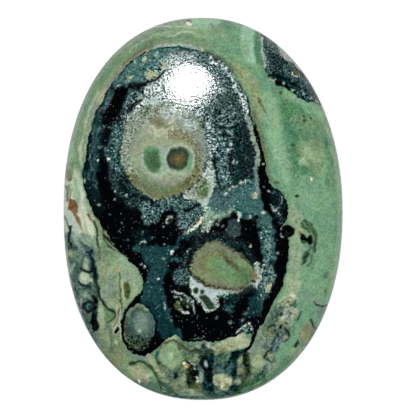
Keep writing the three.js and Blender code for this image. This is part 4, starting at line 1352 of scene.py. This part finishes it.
@dataclass
class CabochonForm:
    """The stone's shape: an oval with four quarters of their own fullness under a dome."""

    width: float
    length: float
    thickness: float
    girdle_height: float = 1.9 * MM
    bevel_height: float = 0.45 * MM
    bevel_share: float = 0.035
    girdle_lean_share: float = 0.004
    widest_y: float = -0.27 * MM
    fullness: tuple[tuple[str, float], ...] = (
        ("Upper Right", 2.09), ("Upper Left", 2.23), ("Lower Left", 2.28), ("Lower Right", 2.19))
    crown_fullness: float = 2.15
    shoulder_fullness: float = 1.95
    cells: int = 288  # squares across the dome
    section_samples: int = 4001
    wall_rings: int = 8
    wall_foot: float = 1.15  # the wall's last ring, in bevel heights
    wall_step: float = 2.0  # sectors of the edge to one of the wall's
    back_rings: int = 38
    back_step: float = 8.0
    first_back_step: float = 4.0
    corner_share: float = 0.004  # how far the rings beside a corner lie from it
    upper_corner: Point = (0.25, 0.95)  # the ring under it: corner shares in, and bevel heights up
    lower_corner_rise: float = 0.06  # the ring over it, in bevel heights
    merge_gap: float = 1e-6

    def dome_section(self) -> list[Point]:
        """The dome's rings from its top to its edge, evenly spaced over the surface.

        Returns:
            For each ring, its share of the way out and its height in metres.
        """
        climb = np.linspace(math.pi / 2, 0, self.section_samples)
        share = (1 - self.girdle_lean_share) * np.maximum(np.cos(climb), 0) ** (2 / self.crown_fullness)
        height = self.girdle_height + (self.thickness - self.girdle_height) * (
            np.sin(climb) ** (2 / self.shoulder_fullness))
        reach = math.sqrt(self.width * self.length) / 2
        run = np.concatenate([[0], np.cumsum(np.hypot(np.diff(share) * reach, np.diff(height)))])
        even = np.linspace(0, run[-1], self.cells // 2 + 1)
        return list(zip(np.interp(even, run, share), np.interp(even, run, height)))

    def base_section(self) -> list[tuple[float, float, float]]:
        """The rings from the dome's edge down the wall, round the bevel and over the back.

        Returns:
            For each ring, its share of the way out, its height, and how many sectors of the edge
            one of its own sectors takes.
        """
        top, foot = 1 - self.girdle_lean_share, 1.0
        corner = self.corner_share
        rings = [(top, self.girdle_height, 1.0)]
        for step in range(1, self.wall_rings):
            way = step / self.wall_rings
            height = self.girdle_height + (self.bevel_height * self.wall_foot - self.girdle_height) * way
            rings.append((top + (foot - top) * way, height, self.wall_step))
        inner = foot - self.bevel_share - corner
        upper_in, upper_rise = self.upper_corner
        bevel = [(foot - corner * upper_in, self.bevel_height * upper_rise),
                 (foot - self.bevel_share / 2, self.bevel_height / 2),
                 (foot - self.bevel_share + corner, self.bevel_height * self.lower_corner_rise),
                 (inner, 0.0)]
        rings.extend((share, height, self.wall_step) for share, height in bevel)
        for step in range(1, self.back_rings + 1):
            sectors = self.first_back_step if step == 1 else self.back_step
            rings.append((inner * (1 - step / self.back_rings), 0.0, sectors))
        return rings

    def guide(self, name: str, rows: list[tuple[float, ...]]) -> bpy.types.Object:
        """A loose run of points that the node tree reads a section from.

        Args:
            name: the guide's name.
            rows: up to three numbers for each point.

        Returns:
            The object, not linked to the scene.
        """
        mesh = bpy.data.meshes.new(name)
        mesh.from_pydata([(*row, 0.0)[:3] for row in rows], [], [])
        return bpy.data.objects.new(name, mesh)

    def tree(self) -> bpy.types.NodeTree:
        """The node tree that spins the sections round the oval.

        Returns:
            The tree, with the stone's sizes as its inputs.
        """
        tree = bpy.data.node_groups.new("cabochon_form", "GeometryNodeTree")
        tree.is_modifier = True
        sockets = [("Cells", "Int"), ("Base Rings", "Int"), ("Width", "Float"), ("Length", "Float"),
                   ("Widest Y", "Float")]
        sockets += [(name, "Float") for name, _ in self.fullness]
        sockets += [("Dome Section", "Object"), ("Base Section", "Object"), ("Merge Gap", "Float"),
                    ("Finish", "Material")]
        for name, kind in sockets:
            tree.interface.new_socket(name, in_out="INPUT", socket_type=f"NodeSocket{kind}")
        tree.interface.new_socket("Geometry", in_out="OUTPUT", socket_type="NodeSocketGeometry")
        given = tree.nodes.new("NodeGroupInput").outputs
        cells = Signal(tree, given["Cells"])

        place = add(tree, "GeometryNodeInputPosition").outputs[0]
        flat = add(tree, "ShaderNodeSeparateXYZ", {0: place}).outputs
        a, b = Signal(tree, flat[0]), Signal(tree, flat[1])
        wide = a.math("ABSOLUTE").math("GREATER_THAN", b.math("ABSOLUTE"))
        major, minor = b.blend(a, wide), a.blend(b, wide)
        turn = (minor / major) * (math.pi / 4)
        side = major.math("SIGN")
        cosine = turn.math("SINE").blend(turn.math("COSINE"), wide) * side
        sine = turn.math("COSINE").blend(turn.math("SINE"), wide) * side
        ring = (major.math("ABSOLUTE") * cells * 0.5).math("ROUND")
        grid = add(tree, "GeometryNodeMeshGrid", {"Size X": 2.0, "Size Y": 2.0, "Vertices X": cells + 1.0,
                                                  "Vertices Y": cells + 1.0}).outputs["Mesh"]
        dome = self.swept(tree, given, grid, cosine, sine, self.sampled(tree, given["Dome Section"], ring))

        sectors = cells * 4.0
        rings = Signal(tree, given["Base Rings"])
        ring = ((b + 0.5) * (rings - 1.0)).math("ROUND")
        section = self.sampled(tree, given["Base Section"], ring)
        sector = ((a + 0.5) * sectors).math("ROUND").math("SNAP", section[2])
        angle = sector / sectors * (-2 * math.pi)
        grid = add(tree, "GeometryNodeMeshGrid", {"Size X": 1.0, "Size Y": 1.0, "Vertices X": sectors + 1.0,
                                                  "Vertices Y": rings}).outputs["Mesh"]
        base = self.swept(tree, given, grid, angle.math("COSINE"), angle.math("SINE"), section)

        both = tree.nodes.new("GeometryNodeJoinGeometry")
        for part in (base, dome):
            feed(both.inputs[0], part)
        closed = add(tree, "GeometryNodeMergeByDistance",
                     {0: both.outputs[0], "Distance": given["Merge Gap"]})
        smooth = add(tree, "GeometryNodeSetShadeSmooth", {0: closed.outputs[0]})
        real = add(tree, "GeometryNodeRealizeInstances", {0: smooth.outputs[0]})
        dressed = add(tree, "GeometryNodeSetMaterial", {0: real.outputs[0], "Material": given["Finish"]})
        feed(tree.nodes.new("NodeGroupOutput").inputs[0], dressed.outputs[0])
        return tree

    def sampled(self, tree: bpy.types.NodeTree, guide: bpy.types.NodeSocket, ring: Signal) -> list[Signal]:
        """The share, height and sector step of a ring, read from a guide object.

        Args:
            tree: the tree that the nodes go into.
            guide: the guide object's socket.
            ring: the ring's number.

        Returns:
            Three numbers for each point of the grid.
        """
        points = add(tree, "GeometryNodeObjectInfo", {"Object": guide}).outputs["Geometry"]
        place = add(tree, "GeometryNodeInputPosition").outputs[0]
        found = add(tree, "GeometryNodeSampleIndex", data_type="FLOAT_VECTOR", domain="POINT")
        feed(found.inputs["Geometry"], points)
        feed(found.inputs["Value"], place)
        feed(found.inputs["Index"], ring)
        parts = add(tree, "ShaderNodeSeparateXYZ", {0: found.outputs[0]}).outputs
        return [Signal(tree, parts[i]) for i in range(3)]

    def swept(self, tree: bpy.types.NodeTree, given: bpy.types.NodeOutputs, grid: bpy.types.NodeSocket,
              cosine: Signal, sine: Signal, section: list[Signal]) -> bpy.types.NodeSocket:
        """A grid wrapped on the oval: each point goes out along its angle as far as its ring says.

        Args:
            tree: the tree that the nodes go into.
            given: the tree's inputs.
            grid: the grid to wrap.
            cosine: of the point's angle.
            sine: of the point's angle.
            section: its share of the way out and its height.

        Returns:
            The wrapped grid.
        """
        widest = Signal(tree, given["Widest Y"])
        upper, right = sine.math("GREATER_THAN", 0.0), cosine.math("GREATER_THAN", 0.0)
        over = Signal(tree, given["Upper Left"]).blend(Signal(tree, given["Upper Right"]), right)
        under = Signal(tree, given["Lower Left"]).blend(Signal(tree, given["Lower Right"]), right)
        fullness = under.blend(over, upper)
        middle = Signal(tree, given["Length"]) * 0.5
        half_length = (middle + widest).blend(middle - widest, upper)
        half_width = Signal(tree, given["Width"]) * 0.5
        total = ((cosine / half_width).math("ABSOLUTE") ** fullness
                 + (sine / half_length).math("ABSOLUTE") ** fullness + 1e-6)
        out = total ** (fullness ** -1.0 * -1.0) * section[0]
        spot = add(tree, "ShaderNodeCombineXYZ", {0: cosine * out, 1: sine * out + widest, 2: section[1]})
        moved = add(tree, "GeometryNodeSetPosition", {"Geometry": grid, "Position": spot.outputs[0]})
        return moved.outputs[0]

    def build(self, name: str, finish: bpy.types.Material) -> bpy.types.Object:
        """The stone as a plain mesh object.

        Args:
            name: the object's name.
            finish: its material.

        Returns:
            The object, linked to the scene, with its place in its mesh.
        """
        dome, base = self.dome_section(), self.base_section()
        guides = [self.guide("dome_section", dome), self.guide("base_section", base)]
        tree = self.tree()
        sizes = {"Cells": self.cells, "Base Rings": len(base), "Width": self.width, "Length": self.length,
                 "Widest Y": self.widest_y, "Dome Section": guides[0], "Base Section": guides[1],
                 "Merge Gap": self.merge_gap, "Finish": finish, **dict(self.fullness)}
        carrier = bpy.data.objects.new(name, bpy.data.meshes.new(name))
        bpy.context.scene.collection.objects.link(carrier)
        modifier = carrier.modifiers.new("form", "NODES")
        modifier.node_group = tree
        for item in tree.interface.items_tree:
            if item.in_out == "INPUT":
                modifier[item.identifier] = sizes[item.name]
        shown = carrier.evaluated_get(bpy.context.evaluated_depsgraph_get())
        mesh = bpy.data.meshes.new_from_object(shown)
        carrier.modifiers.clear()
        carrier.data = mesh
        for guide in guides:
            bpy.data.objects.remove(guide)
        bpy.data.node_groups.remove(tree)
        return carrier


@dataclass(frozen=True)
class Tone:
    """A tint's channels, as they run through the shader together."""

    light: Signal
    leaf: Signal
    straw: Signal

    def under(self, other: "Tone", cover: Signal) -> "Tone":
        """This tone with another laid over it."""
        return Tone(self.light.blend(other.light, cover), self.leaf.blend(other.leaf, cover),
                    self.straw.blend(other.straw, cover))

    def stirred(self, light: Signal, leaf: Signal | float = 0.0, straw: Signal | float = 0.0) -> "Tone":
        """This tone with something added to each channel."""
        return Tone(self.light + light, self.leaf + leaf, self.straw + straw)


@dataclass(frozen=True)
class PolishedJasper:
    """The stone's finish: layered markings, grain and a hard polish."""

    view: PhotoView
    fibre_centre: Point = (163, 150)  # in pixels
    fibre_spread: float = 22  # how fine the fibres are round their centre
    fibre_stretch: float = 1.4  # how soon they change along their way, for each millimetre
    noise_roughness: float = 0.55
    swirl: float = 1.3  # how finely and how far the crumbs are stirred, in their own widths
    ior: float = 1.54
    gloss: float = 0.11  # roughness of the polished rock
    pool_gloss: float = -0.04  # what the dark pools add to it
    satin: float = 0.3  # how much rougher the ground back and bevel are
    satin_top: float = 0.45 * MM  # the satin starts under this height
    satin_full: float = 0.1 * MM
    relief: float = 0.0022 * MM
    studio_light: float = 1.25

    def noise(self, tree: bpy.types.NodeTree, per_mm: float, detail: float = 2.0,
              shift: float = 0.0) -> Signal:
        """A cloud of numbers about 0, mostly within 1 either way, of a given fineness.

        Args:
            tree: the tree that the nodes go into.
            per_mm: how many clouds lie along a millimetre.
            detail: how many finer layers it has.
            shift: a way aside in millimetres, for a cloud of its own.

        Returns:
            The numbers.
        """
        place = add(tree, "ShaderNodeTexCoord").outputs["Object"]
        moved = add(tree, "ShaderNodeVectorMath", {0: place, 1: (shift * MM,) * 3}, operation="ADD")
        node = add(tree, "ShaderNodeTexNoise", {"Vector": moved.outputs[0], "Scale": per_mm / MM,
                                                "Detail": detail, "Roughness": self.noise_roughness})
        return (Signal(tree, node.outputs[0]) - 0.5) * 4.0

    def dots(self, tree: bpy.types.NodeTree, per_mm: float, size: float, rare: float) -> Signal:
        """Small round specks, each of its own strength.

        Args:
            tree: the material's tree.
            per_mm: how close together they could stand.
            size: their radius, as a share of their spacing.
            rare: the share of places that stay empty.

        Returns:
            The specks' strength, from 0 to 1.
        """
        place = add(tree, "ShaderNodeTexCoord").outputs["Object"]
        cells = add(tree, "ShaderNodeTexVoronoi", {"Vector": place, "Scale": per_mm / MM})
        chance = Signal(tree, add(tree, "ShaderNodeSeparateColor", {0: cells.outputs["Color"]}).outputs[0])
        near = Signal(tree, cells.outputs["Distance"]).rise(size * 1.5, size * 0.6)
        return near * chance.rise(rare, 1.0)

    def rubble(self, tree: bpy.types.NodeTree, per_mm: float) -> tuple[Signal, Signal]:
        """Crumbs of broken rock, with rims between them.

        Args:
            tree: the material's tree.
            per_mm: how many crumbs lie along a millimetre.

        Returns:
            Each crumb's own shade, from -1 to 1, and how near a rim is, from 0 to 1.
        """
        place = add(tree, "ShaderNodeTexCoord").outputs["Object"]
        swirl = add(tree, "ShaderNodeTexNoise", {"Vector": place, "Scale": per_mm * self.swirl / MM,
                                                 "Detail": 2.0})
        push = add(tree, "ShaderNodeVectorMath", {0: swirl.outputs["Color"], 1: (0.5, 0.5, 0.5)},
                   operation="SUBTRACT").outputs[0]
        pushed = add(tree, "ShaderNodeVectorMath", {0: push, 1: (self.swirl * MM / per_mm,) * 3},
                     operation="MULTIPLY").outputs[0]
        spot = add(tree, "ShaderNodeVectorMath", {0: place, 1: pushed}, operation="ADD").outputs[0]
        cells = add(tree, "ShaderNodeTexVoronoi", {"Vector": spot, "Scale": per_mm / MM})
        edges = add(tree, "ShaderNodeTexVoronoi", {"Vector": spot, "Scale": per_mm / MM},
                    feature="DISTANCE_TO_EDGE")
        shade = Signal(tree, add(tree, "ShaderNodeSeparateColor", {0: cells.outputs["Color"]}).outputs[0])
        return shade * 2.0 - 1.0, Signal(tree, edges.outputs["Distance"]).rise(0.13, 0.02)

    def field(self, tree: bpy.types.NodeTree, name: str) -> Signal:
        """One of the markings' attributes."""
        return Signal(tree, add(tree, "ShaderNodeAttribute", attribute_name=name).outputs["Fac"])

    def tone(self, tree: bpy.types.NodeTree, name: str) -> Tone:
        """The tint of one layer."""
        return Tone(*(self.field(tree, f"{name}_{channel}") for channel in CHANNELS))

    def fibres(self, tree: bpy.types.NodeTree) -> Signal:
        """Streaks that run out from the large orb.

        Args:
            tree: the tree that the nodes go into.

        Returns:
            Numbers about 0, mostly within 1 either way.
        """
        x = (self.fibre_centre[0] - self.view.stone_x) / self.view.pixels_per_mm * MM
        y = (self.view.stone_y - self.fibre_centre[1]) / self.view.pixels_per_mm * MM
        place = add(tree, "ShaderNodeTexCoord").outputs["Object"]
        away = add(tree, "ShaderNodeVectorMath", {0: place, 1: (x, y, 0)}, operation="SUBTRACT").outputs[0]
        flat = add(tree, "ShaderNodeVectorMath", {0: away, 1: (1, 1, 0)}, operation="MULTIPLY").outputs[0]
        way = add(tree, "ShaderNodeVectorMath", {0: flat}, operation="NORMALIZE").outputs[0]
        reach = add(tree, "ShaderNodeVectorMath", {0: flat}, operation="LENGTH").outputs["Value"]
        fine = add(tree, "ShaderNodeVectorMath", {0: way, 1: (self.fibre_spread,) * 3},
                   operation="MULTIPLY").outputs[0]
        length = Signal(tree, reach) * (self.fibre_stretch / MM)
        along = add(tree, "ShaderNodeCombineXYZ", {2: length}).outputs[0]
        spot = add(tree, "ShaderNodeVectorMath", {0: fine, 1: along}, operation="ADD").outputs[0]
        node = add(tree, "ShaderNodeTexNoise", {"Vector": spot, "Scale": 1.0, "Detail": 2.0})
        return (Signal(tree, node.outputs[0]) - 0.5) * 4.0

    def colour(self, tree: bpy.types.NodeTree, tone: Tone) -> bpy.types.NodeSocket:
        """The rock's own colour for a tone, which shows that tone in the studio light.

        Args:
            tree: the tree that the nodes go into.
            tone: the tone to show.

        Returns:
            The colour's socket.
        """
        green = tone.light + tone.leaf * RED_SHARE + tone.straw * BLUE_SHARE
        parts = []
        for part in (green - tone.leaf, green, green - tone.straw):
            seen = part.math("MAXIMUM", 0.0).math("MINIMUM", 1.0)
            parts.append(((seen + SRGB_OFFSET) / (1 + SRGB_OFFSET)) ** SRGB_POWER / self.studio_light)
        return add(tree, "ShaderNodeCombineColor", dict(enumerate(parts))).outputs[0]

    def make(self) -> bpy.types.Material:
        """The material.

        Returns:
            The material, with its node tree.
        """
        material = bpy.data.materials.new("polished_jasper")
        material.use_nodes = True
        tree = material.node_tree
        tree.nodes.clear()
        grain = self.noise(tree, 5.0, 1.0)
        crisp = self.noise(tree, 4.2, 0.0, 117.0)
        speck = self.noise(tree, 2.6, 1.0, 17.0)
        mottle = self.noise(tree, 1.1, 2.0, 31.0)
        drift = self.noise(tree, 0.32, 2.0, 53.0)
        wander = mottle * 0.7 + speck * 0.8
        salt = grain.rise(-0.7, 0.7) * 2.0 - 1.0
        busy, streaky, gritty, fibrous = (self.field(tree, name).rise(-0.5, 0.5)
                                          for name in ("busy", "streaky", "gritty", "fibrous"))

        coarse, coarse_rim = self.rubble(tree, 0.95)
        fine, fine_rim = self.rubble(tree, 2.3)
        broken = busy * 0.75 + streaky * 0.25
        crumbs = (coarse * 0.5 + fine * 0.5) * broken
        rims = (coarse_rim * 0.6 + fine_rim * 0.4) * broken
        # The rock and pool tones include the painted highlight haze and the painted rim shade.
        rock = self.tone(tree, "rock").stirred(
            grain * 0.035 + speck * 0.03 + mottle * 0.035 + drift * 0.02 + crumbs * 0.24 - rims * 0.2,
            speck * 0.01 + mottle * 0.02 - crumbs * 0.03,
            grain * 0.006 + speck * 0.012 + mottle * 0.024 + drift * 0.03 + crumbs * 0.01)
        dust = self.dots(tree, 3.1, 0.18, 0.8) + self.dots(tree, 1.7, 0.14, 0.9) * 1.2
        rock = rock.stirred(dust * -0.13, dust * -0.04)
        pool = self.tone(tree, "pool")
        fibre = self.fibres(tree)
        holes = crisp.rise(-0.35, -1.1) * gritty
        # Sparks of salt; in the gritty zone round the highlight they are partly painted glints.
        sparks = crisp.rise(0.75, 1.35) * (gritty * 0.34 + 0.08)
        glitter = self.dots(tree, 2.5, 0.2, 0.5) * 0.3 + self.dots(tree, 3.7, 0.2, 0.7) * 0.5
        outline = (self.field(tree, "pool") + wander).rise(1.9, 0.6) * (mottle + speck * 0.5).rise(-0.7, 0.5)
        texture = (salt * (gritty * 0.36 + 0.22) + speck * 0.2 + fibre.rise(-0.6, 0.6) * fibrous * 0.9
                   - fibrous * 0.4 - holes * 0.6 - outline * 0.7)
        pool = pool.stirred(pool.light * texture + sparks * (pool.light * 2.0 + 0.3) + glitter)
        inside = (self.field(tree, "pool") + wander * 0.7 + grain * 0.5).rise(-0.5, 0.5)
        rock = rock.stirred(salt * (gritty * 0.1 + 0.025) - holes * 0.2 + sparks * gritty * 0.3)
        tone = rock.under(pool, inside)
        for name, rough in (("halo", 0.5), ("seed", 0.42), ("bud", 0.3)):
            cover = (self.field(tree, name) + grain * rough * 0.8 + speck * rough * 0.4).rise(-0.6, 0.6)
            tone = tone.under(rock, cover)
        for name, ragged in (("vein", 0.9), ("lace", 1.7), ("crack", 0.6), ("fleck", 0.5)):
            depth = self.field(tree, f"{name}_edge")
            cover = (depth + wander * 0.6 * ragged + grain * 0.9 * ragged).rise(-1.2, 1.2)
            mark = self.tone(tree, name).stirred(salt * 0.07 + speck * 0.07 + mottle * 0.03, speck * 0.02,
                                                 speck * 0.02 + mottle * 0.02)
            tone = tone.under(mark, cover)

        surface = add(tree, "ShaderNodeBsdfPrincipled",
                      {"Base Color": self.colour(tree, tone), "IOR": self.ior})
        place = add(tree, "ShaderNodeTexCoord").outputs["Object"]
        level = Signal(tree, add(tree, "ShaderNodeSeparateXYZ", {0: place}).outputs[2])
        ground = level.rise(self.satin_top, self.satin_full)
        polish = inside * self.pool_gloss + self.gloss + grain.math("ABSOLUTE") * 0.01
        feed(surface.inputs["Roughness"], polish + ground * self.satin)
        pits = self.noise(tree, 6.5, 0.0, 91.0)
        height = pits * (inside * 0.6 + 0.2) + speck * inside * 0.9 + mottle * 1.6 + fibre * fibrous * 0.5
        bump = add(tree, "ShaderNodeBump", {"Strength": 1.0, "Distance": self.relief, "Height": height})
        feed(surface.inputs["Normal"], bump.outputs[0])
        out = add(tree, "ShaderNodeOutputMaterial")
        feed(out.inputs["Surface"], surface.outputs[0])
        return material


class LampUse(Enum):
    """What a lamp is for: to light the rock, or only to show in its polish."""

    FILL = "fill"
    SHINE = "shine"


@dataclass(frozen=True)
class Lamp:
    """A soft light: where it is, where it points, its sides and how bright its face is, all in metres."""

    name: str
    use: LampUse
    place: tuple[float, float, float]
    aim: tuple[float, float, float]
    width: float
    depth: float
    glow: float

    def hang(self) -> bpy.types.Object:
        """Makes the light and gives it back.

        Returns:
            The light, linked to the scene.
        """
        data = bpy.data.lights.new(self.name, "AREA")
        round_face = self.use is LampUse.SHINE
        data.shape = "ELLIPSE" if round_face else "RECTANGLE"
        data.size, data.size_y = self.width, self.depth
        area = self.width * self.depth * (math.pi / 4 if round_face else 1)
        data.energy = self.glow * math.pi * area
        light = bpy.data.objects.new(self.name, data)
        light.location = self.place
        way = Vector(self.aim) - Vector(self.place)
        light.rotation_euler = way.to_track_quat("-Z", "Y").to_euler()
        light.visible_camera = False
        light.visible_glossy = self.use is LampUse.SHINE
        light.visible_diffuse = self.use is LampUse.FILL
        bpy.context.scene.collection.objects.link(light)
        return light


@dataclass
class Studio:
    """The plain pale floor, the soft light and the camera over the stone."""

    view: PhotoView
    edge_height: float
    floor_size: float = 2.0
    floor_glow: float = 0.25
    floor_roughness: float = 0.9
    paper_shades: Point = (0.95, 0.97)  # the darkest and the lightest
    paper_grain: float = 40.0  # for each metre
    clip_range: Point = (0.01, 10.0)  # nearest and farthest, in metres
    world_light: float = 0.52
    lamps: tuple[Lamp, ...] = (
        Lamp("ceiling_softbox", LampUse.FILL, (0, 0, 0.9), (0, 0, 0), 1.2, 1.2, 2.07),
        Lamp("key_softbox", LampUse.SHINE, (-0.046, 0.282, 0.42), (0, 0.012, 0.006), 0.135, 0.142, 27.0),
        Lamp("floor_card", LampUse.SHINE, (0.0015, 0.0045, 0.0006), (0.0015, 0.0045, 1.0), 0.041, 0.053, 0.5),
    )

    def floor(self) -> bpy.types.Object:
        """A wide pale floor under the stone.

        Returns:
            The floor, which is staged and not part of the stone.
        """
        half = self.floor_size / 2
        mesh = bpy.data.meshes.new("studio_floor")
        corners = [(-half, -half, 0), (half, -half, 0), (half, half, 0), (-half, half, 0)]
        mesh.from_pydata(corners, [], [(0, 1, 2, 3)])
        material = bpy.data.materials.new("pale_paper")
        material.use_nodes = True
        tree = material.node_tree
        surface = tree.nodes["Principled BSDF"]
        place = add(tree, "ShaderNodeTexCoord").outputs["Object"]
        grain = add(tree, "ShaderNodeTexNoise", {"Vector": place, "Scale": self.paper_grain,
                                                 "Detail": 3.0}).outputs[0]
        ramp = add(tree, "ShaderNodeValToRGB", {0: grain})
        for stop, shade in zip(ramp.color_ramp.elements, self.paper_shades):
            stop.color = (shade, shade, shade, 1)
        feed(surface.inputs["Base Color"], ramp.outputs[0])
        surface.inputs["Roughness"].default_value = self.floor_roughness
        surface.inputs["Specular IOR Level"].default_value = 0.0
        feed(surface.inputs["Emission Color"], ramp.outputs[0])
        surface.inputs["Emission Strength"].default_value = self.floor_glow
        mesh.materials.append(material)
        floor = bpy.data.objects.new("studio_floor", mesh)
        bpy.context.scene.collection.objects.link(floor)
        floor.visible_glossy = False
        return floor

    def sky(self) -> None:
        """A dim even light from all round."""
        world = bpy.data.worlds.new("studio_sky")
        world.use_nodes = True
        backdrop = world.node_tree.nodes["Background"]
        backdrop.inputs["Color"].default_value = (1, 1, 1, 1)
        backdrop.inputs["Strength"].default_value = self.world_light
        world.cycles_visibility.glossy = False
        bpy.context.scene.world = world

    def camera(self) -> bpy.types.Object:
        """The camera, straight above, at the photograph's scale.

        Returns:
            The camera, set as the scene's own.
        """
        data = bpy.data.cameras.new("photo_camera")
        data.lens = self.view.lens_mm
        data.sensor_width = self.view.sensor_mm
        data.clip_start, data.clip_end = self.clip_range
        camera = bpy.data.objects.new("photo_camera", data)
        camera.location = (self.view.camera_x, self.view.camera_y, self.edge_height + self.view.distance)
        bpy.context.scene.collection.objects.link(camera)
        bpy.context.scene.camera = camera
        return camera

    def set_up(self) -> None:
        """Builds all of it."""
        self.camera()
        self.floor()
        self.sky()
        for lamp in self.lamps:
            lamp.hang()
        bpy.context.scene.view_settings.view_transform = "Standard"


@dataclass
class JasperStone:
    """The whole stone: its form, its markings and its finish."""

    low: Vector
    high: Vector
    view: PhotoView = field(default_factory=PhotoView)

    def form(self) -> CabochonForm:
        """The form, at the size of the solid that it stands for."""
        size = self.high - self.low
        return CabochonForm(width=size.x, length=size.y, thickness=size.z)

    def build(self) -> bpy.types.Object:
        """Makes the stone and ties it to the frame.

        Returns:
            The stone's object.
        """
        form = self.form()
        finish = PolishedJasper(self.view).make()
        stone = form.build("jasper_stone", finish)
        pattern = JasperPattern(self.view, form.girdle_height, form.thickness,
                                form.width / 2, form.length / 2)
        layers = pattern.mark(stone.data)
        LOG.info("jasper_stone: %d vertices, %d layers", len(stone.data.vertices), layers)
        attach(stone, BODY)
        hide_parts(NODE)
        return stone


def main() -> None:
    """Builds the stone and the studio, and notes the sizes."""
    logging.basicConfig(level=logging.INFO, format="%(name)s: %(message)s")
    low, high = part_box(NODE)
    stone = JasperStone(low, high)
    stone.build()
    studio = Studio(stone.view, stone.form().girdle_height)
    studio.set_up()
    LOG.info("studio: %d lamps", len(studio.lamps))


if __name__ == "__main__":
    main()
